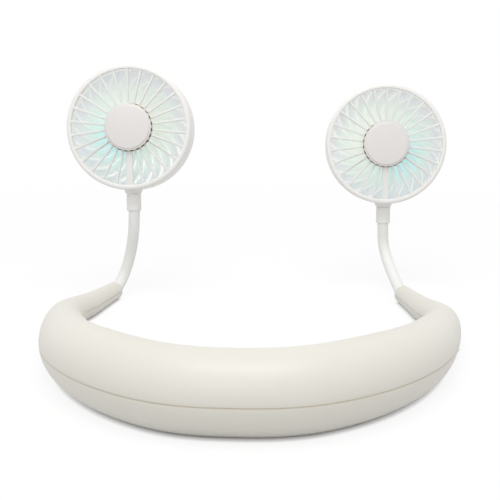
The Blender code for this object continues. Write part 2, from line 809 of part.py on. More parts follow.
def indicator_lens():
    station = lens_station()
    top = station.radius
    flange_radius = LENS_RADIUS + LENS_FLANGE
    flange_top = bore_reach(station, flange_radius) - CLEARANCE
    profile = [(0.0, top), (LENS_RADIUS, top), (LENS_RADIUS, flange_top),
               (flange_radius, flange_top), (flange_radius, flange_top - LENS_FLANGE),
               (LENS_RADIUS, flange_top - LENS_FLANGE), (LENS_RADIUS, top - LENS_LENGTH),
               (0.0, top - LENS_LENGTH)]
    turned("indicator_lens", profile, SMALL_STEPS, LENS_CLEAR,
           station.outward_place(BUTTON_DROP))


def charging_socket():
    station = Station(LEFT * SOCKET_PLACE)
    place = station.outward_place(BUTTON_DROP)
    mouth = station.radius - SOCKET_RECESS
    low = mouth - SOCKET_DEPTH
    here = Matrix.Identity(4)
    bm = bmesh.new()
    add_stadium(bm, here, SOCKET_WIDTH, SOCKET_THICKNESS, low, mouth)
    socket = add_object("charging_socket", mesh_from("charging_socket", bm), STEEL, place)
    hollow = bmesh.new()
    add_stadium(hollow, place, SOCKET_WIDTH - 2 * SOCKET_WALL,
                SOCKET_THICKNESS - 2 * SOCKET_WALL, low + SOCKET_FLOOR, mouth + OVERRUN)
    combine(socket, add_tool("socket_hollow", mesh_from("socket_hollow", hollow)), "DIFFERENCE")
    tongue = bmesh.new()
    tongue_low = low + SOCKET_FLOOR / 2
    tongue_top = mouth - SOCKET_FLOOR
    add_box(tongue, place @ Matrix.Translation((0.0, 0.0, (tongue_low + tongue_top) / 2)),
            (TONGUE_WIDTH, TONGUE_THICKNESS, tongue_top - tongue_low))
    combine(socket, add_tool("socket_tongue", mesh_from("socket_tongue", tongue)), "UNION")

    board_top = charge_board_top(station)
    board = bmesh.new()
    add_box(board, Matrix.Translation((0.0, 0.0, board_top - BOARD_THICKNESS / 2)),
            (2 * (charge_post_offset() + POST_RADIUS), CHARGE_BOARD_WIDTH, BOARD_THICKNESS))
    add_object("charge_board", mesh_from("charge_board", board), BOARD_GREEN, place)


# Goosenecks

def dome_rim(radius, ball):
    """Height above the ball's centre where the ball meets a tube of this radius."""
    return math.sqrt(ball ** 2 - radius ** 2)


def dome_points(radius, ball, centre):
    """From the top of the ball out to the tube's edge."""
    widest = math.asin(radius / ball)
    return [(ball * math.sin(widest * i / DOME_STEPS),
             centre + ball * math.cos(widest * i / DOME_STEPS)) for i in range(DOME_STEPS + 1)]


def socket_points(radius, centre):
    """From the tube's edge in to the top of the cup, which clears the ball."""
    return list(reversed(dome_points(radius, BALL_RADIUS + CLEARANCE, centre)))


def curve_point(corners, t):
    a, b, c, d = corners
    s = 1.0 - t
    return s ** 3 * a + 3 * s * s * t * b + 3 * s * t * t * c + t ** 3 * d


def curve_length(corners):
    points = [curve_point(corners, i / SPLINE_STEPS) for i in range(SPLINE_STEPS + 1)]
    return sum((b - a).length for a, b in zip(points, points[1:]))


def neck_corners(side):
    """Control points of the gooseneck's curve, whose lower pull gives it its full length."""
    tip = Station(side * HALF_LENGTH)
    inward, forward, rise = neck_pose(side)
    start = tip.centre + tip.forward * NECK_STANDOFF
    end = start + Vector((-side * inward, forward, rise))
    up = head_up(side)
    lift, turn = neck_departure(side)
    level = tip.forward * math.cos(turn) - tip.outward * math.sin(turn)
    rising = level * math.cos(lift) + Vector((0.0, 0.0, math.sin(lift)))
    low, high = 0.0, (end - start).length * 2
    for _ in range(SPLINE_STEPS):
        pull = (low + high) / 2
        corners = (start, start + rising * pull, end - up * NECK_TOP_PULL, end)
        if curve_length(corners) < NECK_LENGTH:
            low = pull
        else:
            high = pull
    return corners


def neck_pose(side):
    if side == LEFT:
        return LEFT_NECK_INWARD, LEFT_NECK_FORWARD, LEFT_NECK_RISE
    return RIGHT_NECK_INWARD, RIGHT_NECK_FORWARD, RIGHT_NECK_RISE


def head_up(side):
    """From the gooseneck's end to the middle of the head."""
    tilt, roll = RIGHT_HEAD_TILT, RIGHT_HEAD_ROLL
    if side == LEFT:
        tilt, roll = LEFT_HEAD_TILT, LEFT_HEAD_ROLL
    return Vector((math.sin(roll), math.sin(tilt) * math.cos(roll),
                   math.cos(tilt) * math.cos(roll)))


def neck_departure(side):
    if side == LEFT:
        return LEFT_NECK_LIFT, LEFT_NECK_TURN
    return RIGHT_NECK_LIFT, RIGHT_NECK_TURN


def ball_centres(side):
    """Centres of the balls, evenly spaced along the gooseneck's curve."""
    corners = neck_corners(side)
    steps = SPLINE_STEPS * NECK_LINKS
    points = [curve_point(corners, i / steps) for i in range(steps + 1)]
    lengths = np.cumsum([0.0] + [(b - a).length for a, b in zip(points, points[1:])])
    wanted = np.linspace(0.0, lengths[-1], NECK_LINKS + 1)
    columns = [np.interp(wanted, lengths, [point[axis] for point in points])
               for axis in range(3)]
    return [Vector(row) for row in zip(*columns)]


def joint_place(centre, direction):
    """Local Z along the next piece, and local X as level as the joint allows."""
    return place_from(centre, Vector((1.0, 0.0, 0.0)), direction)


def neck_root(side):
    tip = Station(side * HALF_LENGTH)
    centre = tip.centre + tip.forward * NECK_STANDOFF
    low = -NECK_STANDOFF - ROOT_LENGTH
    flange_radius = NECK_RADIUS + ROOT_FLANGE
    flange_low = low + ROOT_FLANGE_LENGTH
    flange_top = flange_low + ROOT_FLANGE_LENGTH
    profile = (dome_points(NECK_RADIUS, BALL_RADIUS, 0.0)
               + [(NECK_RADIUS, flange_top), (flange_radius, flange_top),
                  (flange_radius, flange_low), (NECK_RADIUS, flange_low),
                  (NECK_RADIUS, low), (0.0, low)])
    turned(f"neck_root_{SIDE_NAMES[side]}", profile, LINK_STEPS, COOL_WHITE,
           joint_place(centre, tip.forward))


def neck_links(side):
    centres = ball_centres(side)
    for number in range(1, NECK_LINKS + 1):
        below = centres[number - 1]
        above = centres[number]
        length = (above - below).length
        profile = (dome_points(NECK_RADIUS, BALL_RADIUS, length)
                   + socket_points(NECK_RADIUS, 0.0))
        turned(f"neck_link_{SIDE_NAMES[side]}_{number}", profile, LINK_STEPS, COOL_WHITE,
               joint_place(below, above - below))


def sleeve_top():
    return dome_rim(SLEEVE_RADIUS, BALL_RADIUS + CLEARANCE) + SLEEVE_LENGTH


def sleeve(side, neck_end):
    top = sleeve_top()
    profile = ([(0.0, top + SPIGOT_LENGTH), (SPIGOT_RADIUS, top + SPIGOT_LENGTH),
                (SPIGOT_RADIUS, top), (SLEEVE_RADIUS, top)]
               + socket_points(SLEEVE_RADIUS, 0.0))
    turned(f"sleeve_{SIDE_NAMES[side]}", profile, LINK_STEPS, HEAD_WHITE,
           Matrix.Identity(4), neck_end)


# Fan heads, each in a frame with its face at +Z and its stem at -Y

FACE = HEAD_DEPTH / 2
PARTING = FACE - SKIRT_DEPTH
SPOKE_TOP = FACE - SPOKE_RECESS
SPOKE_LOW = SPOKE_TOP - SPOKE_DEPTH
SLOT_INNER = HUB_RADIUS + SPOKE_RECESS
SLOT_OUTER = HEAD_RADIUS - RING_WIDTH
HEAD_BORE = HEAD_RADIUS - HEAD_WALL
REAR_FACE = -HEAD_DEPTH / 2
REAR_INSIDE = REAR_FACE + REAR_PLATE
STEM_ANGLE = -math.pi / 2


def circle(radius, steps):
    return [(radius * math.cos(2 * math.pi * i / steps),
             radius * math.sin(2 * math.pi * i / steps)) for i in range(steps)]


def spoke_half_width(index, radius):
    """Half the width of a spoke, which widens outward; the stem's spoke is wide all along."""
    if index % SPOKES == 0:
        return STEM_SPOKE_WIDTH / 2
    share = (radius - SLOT_INNER) / (SLOT_OUTER - SLOT_INNER)
    return (SPOKE_HUB_WIDTH + (SPOKE_RIM_WIDTH - SPOKE_HUB_WIDTH) * share) / 2


def slot_outline(inner, outer, edge_angles, corner, bends=()):
    """A slot between edges given by their angles at a radius, its outer corners cut off."""
    low, high = edge_angles(outer)
    shift = min(corner / outer, (high - low) * CORNER_SHARE)
    radii = [inner, *bends, outer - corner]
    low_wall = [(radius, edge_angles(radius)[0]) for radius in radii]
    high_wall = [(radius, edge_angles(radius)[1]) for radius in reversed(radii)]
    ring = low_wall + [(outer, low + shift), (outer, high - shift)] + high_wall
    return [(radius * math.cos(angle), radius * math.sin(angle)) for radius, angle in ring]


def front_slots():
    slots = []
    pitch = 2 * math.pi / SPOKES
    for index in range(SPOKES):
        start = STEM_ANGLE + index * pitch

        def edge_angles(radius, index=index, start=start):
            return (start + spoke_half_width(index, radius) / radius,
                    start + pitch - spoke_half_width(index + 1, radius) / radius)

        slots.append(slot_outline(SLOT_INNER, SLOT_OUTER, edge_angles, SLOT_CORNER))
    return slots


def front_grille(side, head):
    name = f"front_grille_{SIDE_NAMES[side]}"
    middle = HEAD_RADIUS - HEAD_WALL / 2
    inside = HEAD_RADIUS - RING_WIDTH + RING_LEDGE
    lip_bore = middle + CLEARANCE
    lip_top = PARTING + JOINT_LIP + CLEARANCE
    ring_low = FACE - SPOKE_DEPTH - 2 * SPOKE_RECESS
    rim = [(inside, FACE), (HEAD_RADIUS - FRONT_ROUND, FACE), (HEAD_RADIUS, FACE - FRONT_ROUND),
           (HEAD_RADIUS, PARTING), (lip_bore, PARTING), (lip_bore, lip_top),
           (HEAD_BORE, lip_top), (HEAD_BORE, ring_low), (inside, ring_low)]
    grille = turned(name, rim, RING_STEPS, HEAD_WHITE, Matrix.Identity(4), head, closed=True)

    plate_radius = (inside + HEAD_RADIUS - FRONT_ROUND) / 2
    hole_radius = (CUP_RADIUS + HUB_RADIUS) / 2
    loops = [circle(plate_radius, RING_STEPS), circle(hole_radius, HUB_STEPS)] + front_slots()
    plate = add_tool(name + "_spokes", flat_plate(name + "_spokes", loops, SPOKE_DEPTH),
                     Matrix.Translation((0.0, 0.0, (SPOKE_TOP + SPOKE_LOW) / 2)), head)
    combine(grille, plate, "UNION")

    cup_floor = SPOKE_TOP - CUP_DEPTH
    hub_top = SPOKE_TOP + SPOKE_RECESS / 2
    hub_low = SPOKE_LOW - SPOKE_RECESS / 2
    cup_outside = CUP_RADIUS + HUB_WALL
    hub = [(0.0, cup_floor), (CUP_RADIUS, cup_floor), (CUP_RADIUS, hub_top),
           (HUB_RADIUS, hub_top), (HUB_RADIUS, hub_low), (cup_outside, hub_low),
           (cup_outside, cup_floor - HUB_WALL), (0.0, cup_floor - HUB_WALL)]
    combine(grille, turned_tool(name + "_hub", hub, CAP_STEPS, None, head), "UNION")
    merge_flats(grille)
    shade(grille)


def rear_slots():
    slots = []
    inner = REAR_HUB_RADIUS
    outer = HEAD_RADIUS - REAR_RIM_WIDTH
    pitch = 2 * math.pi / REAR_SPOKES
    bend = inner + (outer - inner) * REAR_BEND_SHARE
    for index in range(REAR_SPOKES):
        start = index * pitch

        def edge_angles(radius, start=start):
            sweep = REAR_SWEEP * (radius - inner) / (outer - inner)
            half = REAR_SPOKE_WIDTH / 2 / radius
            return start + sweep + half, start + sweep + pitch - half

        slots.append(slot_outline(inner, outer, edge_angles, REAR_SLOT_CORNER, [bend]))
    return slots


def rear_shell(side, head):
    name = f"rear_shell_{SIDE_NAMES[side]}"
    middle = HEAD_RADIUS - HEAD_WALL / 2
    rim_inside = HEAD_RADIUS - REAR_RIM_WIDTH
    edge_top = PARTING - CLEARANCE
    round_reach = BACK_ROUND * (1.0 - math.sqrt(0.5))
    wall = [(HEAD_BORE, PARTING + JOINT_LIP), (middle, PARTING + JOINT_LIP), (middle, edge_top),
            (HEAD_RADIUS, edge_top), (HEAD_RADIUS, REAR_FACE + BACK_ROUND),
            (HEAD_RADIUS - round_reach, REAR_FACE + round_reach),
            (HEAD_RADIUS - BACK_ROUND, REAR_FACE), (rim_inside, REAR_FACE),
            (rim_inside, REAR_INSIDE), (HEAD_RADIUS - BACK_ROUND, REAR_INSIDE),
            (HEAD_BORE, REAR_FACE + BACK_ROUND)]
    shell = turned(name, wall, RING_STEPS, HEAD_WHITE, Matrix.Identity(4), head, closed=True)

    plate_radius = (rim_inside + HEAD_RADIUS - BACK_ROUND) / 2
    thickness = REAR_PLATE - 2 * PLATE_INSET
    plate = add_tool(name + "_spokes",
                     flat_plate(name + "_spokes", [circle(plate_radius, RING_STEPS)]
                                + rear_slots(), thickness),
                     Matrix.Translation((0.0, 0.0, (REAR_FACE + REAR_INSIDE) / 2)), head)
    combine(shell, plate, "UNION")

    cup_bore = MOTOR_RADIUS + CLEARANCE
    cup_low = REAR_INSIDE - REAR_PLATE / 2
    cup_top = REAR_INSIDE + MOTOR_CUP_HEIGHT
    cup = [(cup_bore, cup_top), (cup_bore + MOTOR_CUP_WALL, cup_top),
           (cup_bore + MOTOR_CUP_WALL, cup_low), (cup_bore, cup_low)]
    combine(shell, turned_tool(name + "_motor_cup", cup, HUB_STEPS, None, head, True), "UNION")

    # The boss under the head narrows to the sleeve, and the sleeve's spigot enters it
    stem = place_from(Vector((0.0, 0.0, 0.0)), Vector((1.0, 0.0, 0.0)), Vector((0.0, -1.0, 0.0)))
    boss = bmesh.new()
    boss_top = HEAD_RADIUS + BOSS_LENGTH
    add_cone(boss, stem, BOSS_RADIUS, SLEEVE_RADIUS, HEAD_RADIUS - HEAD_WALL / 2, boss_top,
             HUB_STEPS)
    combine(shell, add_tool(name + "_boss", mesh_from(name + "_boss", boss), None, head),
            "UNION")
    bore = bmesh.new()
    add_rod(bore, stem, SPIGOT_RADIUS + CLEARANCE, HEAD_BORE - OVERRUN, boss_top + OVERRUN,
            HUB_STEPS)
    combine(shell, add_tool(name + "_bore", mesh_from(name + "_bore", bore), None, head),
            "DIFFERENCE")
    merge_flats(shell)
    shade(shell)


def motor_levels():
    """Heights of the motor's bottom, top and nose."""
    low = REAR_INSIDE - PLATE_INSET + CLEARANCE
    top = low + MOTOR_LENGTH
    return low, top, top + MOTOR_NOSE_LENGTH


def fan_motor(side, head):
    low, top, nose = motor_levels()
    bore = SHAFT_RADIUS + RUNNING_CLEARANCE
    floor = low + SHAFT_SEAT
    profile = [(0.0, floor), (bore, floor), (bore, nose), (MOTOR_NOSE_RADIUS, nose),
               (MOTOR_NOSE_RADIUS, top), (MOTOR_RADIUS, top), (MOTOR_RADIUS, low), (0.0, low)]
    turned(f"fan_motor_{SIDE_NAMES[side]}", profile, HUB_STEPS, STEEL, Matrix.Identity(4), head)


def shaft_levels():
    low = motor_levels()[0] + SHAFT_SEAT + CLEARANCE
    return low, IMPELLER_TOP - IMPELLER_HUB_WALL


def motor_shaft(side, head):
    low, top = shaft_levels()
    profile = [(0.0, top), (SHAFT_RADIUS, top), (SHAFT_RADIUS, low), (0.0, low)]
    turned(f"motor_shaft_{SIDE_NAMES[side]}", profile, SMALL_STEPS, STEEL, Matrix.Identity(4),
           head)


def add_blade(bm, turn):
    """One blade: pitched sections from inside the hub wall out to the tip, closed all round."""
    root = IMPELLER_HUB_RADIUS - IMPELLER_HUB_WALL / 2
    sections = []
    for i in range(BLADE_RADIAL_STEPS + 1):
        share = i / BLADE_RADIAL_STEPS
        radius = root + (IMPELLER_RADIUS - root) * share
        chord = BLADE_ROOT_CHORD + (BLADE_TIP_CHORD - BLADE_ROOT_CHORD) * share
        pitch = BLADE_ROOT_PITCH + (BLADE_TIP_PITCH - BLADE_ROOT_PITCH) * share
        middle = IMPELLER_TOP - IMPELLER_HUB_HEIGHT / 2 + BLADE_RISE * share
        section = []
        for face in (1, -1):
            for j in range(BLADE_CHORD_STEPS + 1):
                along = (j / BLADE_CHORD_STEPS - 0.5) * face
                camber = BLADE_CAMBER_SHARE * chord * (1.0 - (2 * along) ** 2)
                off = camber + face * BLADE_THICKNESS / 2
                across = along * chord * math.cos(pitch) - off * math.sin(pitch)
                height = along * chord * math.sin(pitch) + off * math.cos(pitch)
                angle = turn + BLADE_SWEEP * share ** 2 + across / radius
                section.append((radius * math.cos(angle), radius * math.sin(angle),
                                middle + height))
        sections.append(section)
    loft(bm, sections)


def impeller(side, head):
    name = f"impeller_{SIDE_NAMES[side]}"
    low = IMPELLER_TOP - IMPELLER_HUB_HEIGHT
    bore = IMPELLER_HUB_RADIUS - IMPELLER_HUB_WALL
    under = IMPELLER_TOP - IMPELLER_HUB_WALL
    shaft_bore = SHAFT_RADIUS + RUNNING_CLEARANCE
    boss_low = motor_levels()[2] + CLEARANCE
    seat = shaft_levels()[1] + CLEARANCE
    profile = [(0.0, IMPELLER_TOP), (IMPELLER_HUB_RADIUS - IMPELLER_ROUND, IMPELLER_TOP),
               (IMPELLER_HUB_RADIUS, IMPELLER_TOP - IMPELLER_ROUND),
               (IMPELLER_HUB_RADIUS, low), (bore, low), (bore, under),
               (IMPELLER_BOSS_RADIUS, under), (IMPELLER_BOSS_RADIUS, boss_low),
               (shaft_bore, boss_low), (shaft_bore, seat), (0.0, seat)]
    wheel = turned(name, profile, HUB_STEPS, IRIDESCENT, Matrix.Identity(4), head)
    blades = bmesh.new()
    for number in range(BLADES):
        add_blade(blades, 2 * math.pi * number / BLADES)
    combine(wheel, add_tool(name + "_blades", mesh_from(name + "_blades", blades), None, head),
            "UNION")
    merge_flats(wheel)
    shade(wheel)


def led_board(side, head):
    name = f"led_board_{SIDE_NAMES[side]}"
    low = REAR_INSIDE - PLATE_INSET + CLEARANCE
    top = low + LAMP_BOARD_THICKNESS
    inside = MOTOR_RADIUS + MOTOR_CUP_WALL + 2 * CLEARANCE
    profile = [(inside, top), (LAMP_BOARD_RADIUS, top), (LAMP_BOARD_RADIUS, low), (inside, low)]
    board = turned(name, profile, HUB_STEPS, BOARD_GREEN, Matrix.Identity(4), head, closed=True)
    lamps = bmesh.new()
    for number in range(LAMPS):
        turn = Matrix.Rotation(2 * math.pi * number / LAMPS, 4, "Z")
        sink = LAMP_BOARD_THICKNESS / 2
        shift = Matrix.Translation((LAMP_BOARD_RADIUS - LAMP_SIZE, 0.0,
                                    top + (LAMP_HEIGHT - sink) / 2))
        add_box(lamps, turn @ shift, (LAMP_SIZE, LAMP_SIZE, LAMP_HEIGHT + sink))
    combine(board, add_tool(name + "_lamps", mesh_from(name + "_lamps", lamps), None, head),
            "UNION")


def aroma_pad(side, head):
    low = SPOKE_TOP - CUP_DEPTH + CLEARANCE
    radius = CUP_RADIUS - CLEARANCE
    profile = [(0.0, low + PAD_THICKNESS), (radius, low + PAD_THICKNESS), (radius, low),
               (0.0, low)]
    turned(f"aroma_pad_{SIDE_NAMES[side]}", profile, CAP_STEPS, FELT, Matrix.Identity(4), head)


def aroma_cap(side, head):
    name = f"aroma_cap_{SIDE_NAMES[side]}"
    top = SPOKE_TOP + CAP_HEIGHT
    low = FACE + CLEARANCE
    skirt_radius = CUP_RADIUS - CLEARANCE
    profile = [(0.0, top), (CAP_FACE_RADIUS, top), (CAP_FACE_RADIUS, top - CAP_STEP),
               (CAP_RADIUS, top - CAP_STEP), (CAP_RADIUS, low), (skirt_radius, low),
               (skirt_radius, low - CAP_SKIRT), (skirt_radius - CAP_WALL, low - CAP_SKIRT),
               (skirt_radius - CAP_WALL, top - CAP_WALL), (0.0, top - CAP_WALL)]
    cap = turned(name, profile, CAP_STEPS, HEAD_WHITE, Matrix.Identity(4), head)
    notches = bmesh.new()
    for number in range(CAP_NOTCHES):
        turn = Matrix.Rotation(2 * math.pi * (number + 0.5) / CAP_NOTCHES, 4, "Z")
        shift = Matrix.Translation((CAP_RADIUS - NOTCH_DEPTH + OVERRUN / 2, 0.0, low))
        add_box(notches, turn @ shift,
                (OVERRUN, NOTCH_WIDTH, 2 * (top - CAP_STEP - NOTCH_LEDGE - low)))
    combine(cap, add_tool(name + "_notches", mesh_from(name + "_notches", notches), None, head),
            "DIFFERENCE")
    merge_flats(cap)


def fan_head(side):
    end = ball_centres(side)[-1]
    neck_end = add_empty(f"neck_end_{SIDE_NAMES[side]}", joint_place(end, head_up(side)))
    stem = sleeve_top() + CLEARANCE + BOSS_LENGTH + HEAD_RADIUS
    # the head's face is square to its stem and looks back along the band
    face = Matrix.Rotation(math.pi / 2, 4, "X")
    head = add_empty(f"head_{SIDE_NAMES[side]}", Matrix.Translation((0.0, 0.0, stem)) @ face,
                     neck_end)
    sleeve(side, neck_end)
    front_grille(side, head)
    rear_shell(side, head)
    fan_motor(side, head)
    motor_shaft(side, head)
    impeller(side, head)
    led_board(side, head)
    aroma_pad(side, head)
    aroma_cap(side, head)


def main():
    lower_shell()
    upper_shell()
    shell_screws()
    battery_cells()
    main_board()
    buttons()
    switches()
    indicator_lens()
    charging_socket()
    for side in (LEFT, RIGHT):
        neck_root(side)
        neck_links(side)
        fan_head(side)


main()
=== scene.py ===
"""Portable neckband fan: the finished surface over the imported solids."""

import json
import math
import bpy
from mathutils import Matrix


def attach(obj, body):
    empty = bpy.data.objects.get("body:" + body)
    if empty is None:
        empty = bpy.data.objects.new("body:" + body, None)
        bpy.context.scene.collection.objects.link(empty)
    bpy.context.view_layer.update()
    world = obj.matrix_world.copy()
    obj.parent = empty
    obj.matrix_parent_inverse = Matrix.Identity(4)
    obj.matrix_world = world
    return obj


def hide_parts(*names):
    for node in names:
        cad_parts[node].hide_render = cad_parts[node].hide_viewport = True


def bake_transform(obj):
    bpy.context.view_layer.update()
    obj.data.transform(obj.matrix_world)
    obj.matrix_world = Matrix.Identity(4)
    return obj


bl_info = {
    "name": "Neckband Fan Finish",
    "version": (1, 0, 0),
    "blender": (4, 5, 0),
    "location": "View3D > Sidebar > Neck Fan",
    "description": "Finished shells, goosenecks, cages, caps and blades for a neckband fan",
    "category": "Object",
}

import bmesh
import bpy
from bpy.props import FloatProperty, FloatVectorProperty, IntProperty, PointerProperty
from mathutils import Matrix, Vector

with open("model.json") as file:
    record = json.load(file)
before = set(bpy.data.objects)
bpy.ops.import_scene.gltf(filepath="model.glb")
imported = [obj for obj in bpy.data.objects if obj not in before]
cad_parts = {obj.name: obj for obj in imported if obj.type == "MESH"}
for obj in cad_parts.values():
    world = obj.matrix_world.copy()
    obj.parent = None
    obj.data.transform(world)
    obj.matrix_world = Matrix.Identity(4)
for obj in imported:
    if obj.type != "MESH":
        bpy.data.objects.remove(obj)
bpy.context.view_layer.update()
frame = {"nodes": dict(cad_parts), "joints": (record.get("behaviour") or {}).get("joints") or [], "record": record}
JOINTS = {joint["name"]: joint for joint in frame["joints"]}
SIDES = ("left", "right")
PHOTO_PIXELS = 500


def length(default, name, description):
    return FloatProperty(name=name, description=description, default=default, unit="LENGTH",
                         precision=5)


def angle(degrees, name, description):
    return FloatProperty(name=name, description=description, default=math.radians(degrees),
                         subtype="ANGLE", unit="ROTATION")


def share(default, name, description):
    return FloatProperty(name=name, description=description, default=default, min=0.0, max=1.0)


def number(default, name, description):
    return IntProperty(name=name, description=description, default=default, min=1)


def color(default, name, description):
    return FloatVectorProperty(name=name, description=description, default=default,
                               subtype="COLOR", size=3, min=0.0, max=1.0)


# Sizes and colours that a user would change

class NECKFAN_BandSizes(bpy.types.PropertyGroup):
    reach: length(0.1031, "Reach", "Widest half width of the band's centre line")
    depth: length(0.2037, "Depth", "Centre line from the back to an arm tip")
    back_radius: length(0.0177, "Back radius", "Radius of the tube at the back")
    tip_radius: length(0.0055, "Tip radius", "Radius of the tube at an arm tip")
    wall: length(0.0016, "Wall", "Wall of both shells")
    land: length(0.0005, "Land", "How much of the underside is flat")
    seam: length(0.00005, "Seam", "Gap between the two shells")
    seam_round: length(0.00025, "Seam rounding", "Rounding of both shells at the seam")
    stations: number(150, "Stations", "Sections along the band")
    around: number(56, "Around", "Sides of the tube")


class NECKFAN_ControlSizes(bpy.types.PropertyGroup):
    button_place: length(0.140, "Button place", "Along the arm from the middle of the back")
    drop: angle(30.0, "Drop", "How far below level the buttons, window and socket face")
    button_radius: length(0.0029, "Button radius", "Radius of the button caps")
    button_proud: length(0.0003, "Button height", "How far the buttons stand out")
    lens_radius: length(0.0010, "Window radius", "Charge lamp window")
    lens_spacing: length(0.0095, "Window spacing", "From the speed button to the window")
    socket_place: length(0.112, "Socket place", "Along the left arm from the back")
    socket_width: length(0.0089, "Socket width", "Outside of the charging socket")
    socket_thickness: length(0.0032, "Socket thickness", "Outside of the charging socket")
    clearance: length(0.0003, "Clearance", "Gap round each control")
    screw_radius: length(0.0021, "Screw hole", "Radius of the screws' counterbores")
    screw_depth: length(0.0021, "Screw depth", "Depth of the screws' counterbores")
    screw_near: length(0.088, "Near screw", "Along the arm from the back")
    screw_far: length(0.192, "Far screw", "Along the arm from the back")


class NECKFAN_NeckSizes(bpy.types.PropertyGroup):
    radius: length(0.0035, "Radius", "Outside of the gooseneck")
    root: length(0.0085, "Root", "From the first joint back to the end inside the arm")
    leave: length(0.0036, "Leave", "From the first joint back to the end of the arm")
    top: length(0.0030, "Top", "How far it runs into the sleeve")
    arc_rings: number(12, "Arc rings", "Rings of the skin over each joint")
    around: number(32, "Around", "Sides of the skin")
    sleeve_radius: length(0.0045, "Sleeve radius", "Sleeve between gooseneck and head")
    sleeve_low: length(0.0028, "Sleeve foot", "From the last joint to the sleeve's foot")
    sleeve_length: length(0.0104, "Sleeve length", "Length of the sleeve")


class NECKFAN_HeadSizes(bpy.types.PropertyGroup):
    radius: length(0.0379, "Radius", "Outside of the head")
    face: length(0.0130, "Face", "From the head's middle plane to its face")
    wall: length(0.0018, "Wall", "Wall of the cage and the rear shell")
    ring: length(0.0028, "Ring", "Width of the front ring")
    front_round: length(0.0015, "Front rounding", "Outer edge of the front ring")
    back_round: length(0.0044, "Back rounding", "Outer edge of the rear shell")
    parting: length(0.0065, "Parting", "Joint between cage and rear shell, from the middle")
    gap: length(0.0003, "Gap", "Gap at the joint between cage and rear shell")
    spokes: number(26, "Spokes", "Spokes in the front cage")
    spoke_hub: length(0.0012, "Spoke at hub", "Width of a spoke at the hub")
    spoke_rim: length(0.0017, "Spoke at rim", "Width of a spoke at the rim")
    stem_spoke: length(0.0042, "Stem spoke", "Width of the spoke over the stem")
    spoke_depth: length(0.0022, "Spoke depth", "Depth of the spokes")
    spoke_recess: length(0.0003, "Spoke recess", "Spokes below the face of the ring")
    spoke_round: length(0.00045, "Spoke rounding", "Rounding along the spokes' edges")
    hub: length(0.0148, "Hub", "Radius of the cage's hub")
    cup: length(0.0123, "Cup", "Radius of the pocket in the hub")
    cup_depth: length(0.0060, "Cup depth", "Depth of the pocket in the hub")
    rear_spokes: number(24, "Rear spokes", "Swept spokes in the rear shell")
    rear_spoke: length(0.0012, "Rear spoke", "Width of a swept spoke")
    rear_sweep: angle(-42.0, "Rear sweep", "How far the rear spokes lean over")
    rear_hub: length(0.0165, "Rear hub", "Plate in the middle of the rear shell")
    rear_rim: length(0.0045, "Rear rim", "Rim round the rear spokes")
    rear_plate: length(0.0016, "Rear plate", "Thickness of the rear spokes")
    boss: length(0.0058, "Boss", "Foot of the funnel on the stem side")
    boss_end: length(0.0047, "Boss end", "End of the funnel over the sleeve")
    boss_length: length(0.0023, "Boss length", "How far the funnel stands out")


class NECKFAN_CapSizes(bpy.types.PropertyGroup):
    radius: length(0.0142, "Radius", "Notched edge of the cap")
    face_radius: length(0.0132, "Face radius", "Raised face of the cap")
    height: length(0.0030, "Height", "Cap above the spokes")
    step: length(0.0008, "Step", "Face above the notched edge")
    notches: number(24, "Notches", "Grip notches round the edge")
    notch_width: length(0.0016, "Notch width", "Width of a notch")
    notch_depth: length(0.0008, "Notch depth", "Depth of a notch")
    ledge: length(0.0002, "Ledge", "Rim left above each notch")
    # sunk and foot place the ring of painted shade behind the notches and round the cap's foot
    sunk: length(0.00015, "Sunk", "Dark floor of the notches below the edge")
    foot: length(0.0147, "Foot", "Edge of the dark gap round the cap")


class NECKFAN_BladeSizes(bpy.types.PropertyGroup):
    blades: number(24, "Blades", "Blades of the impeller")
    radius: length(0.0350, "Radius", "Tip radius of the blades")
    hub: length(0.0125, "Hub", "Radius of the impeller's hub")
    top: length(0.0040, "Top", "Top of the hub above the middle plane")
    height: length(0.0128, "Height", "Height of the hub")
    root_chord: length(0.0100, "Root chord", "Width of a blade at the hub")
    tip_chord: length(0.0124, "Tip chord", "Width of a blade at its tip")
    root_pitch: angle(62.0, "Root pitch", "Blade angle at the hub")
    tip_pitch: angle(40.0, "Tip pitch", "Blade angle at the tip")
    sweep: angle(-24.0, "Sweep", "How far the blades bend round at their tips")
    camber: share(0.10, "Camber", "Hollow of a blade as a share of its chord")
    rise: length(0.0050, "Rise", "How far forward of its root a blade's tip stands")
    thickness: length(0.0010, "Thickness", "Thickness of a blade")


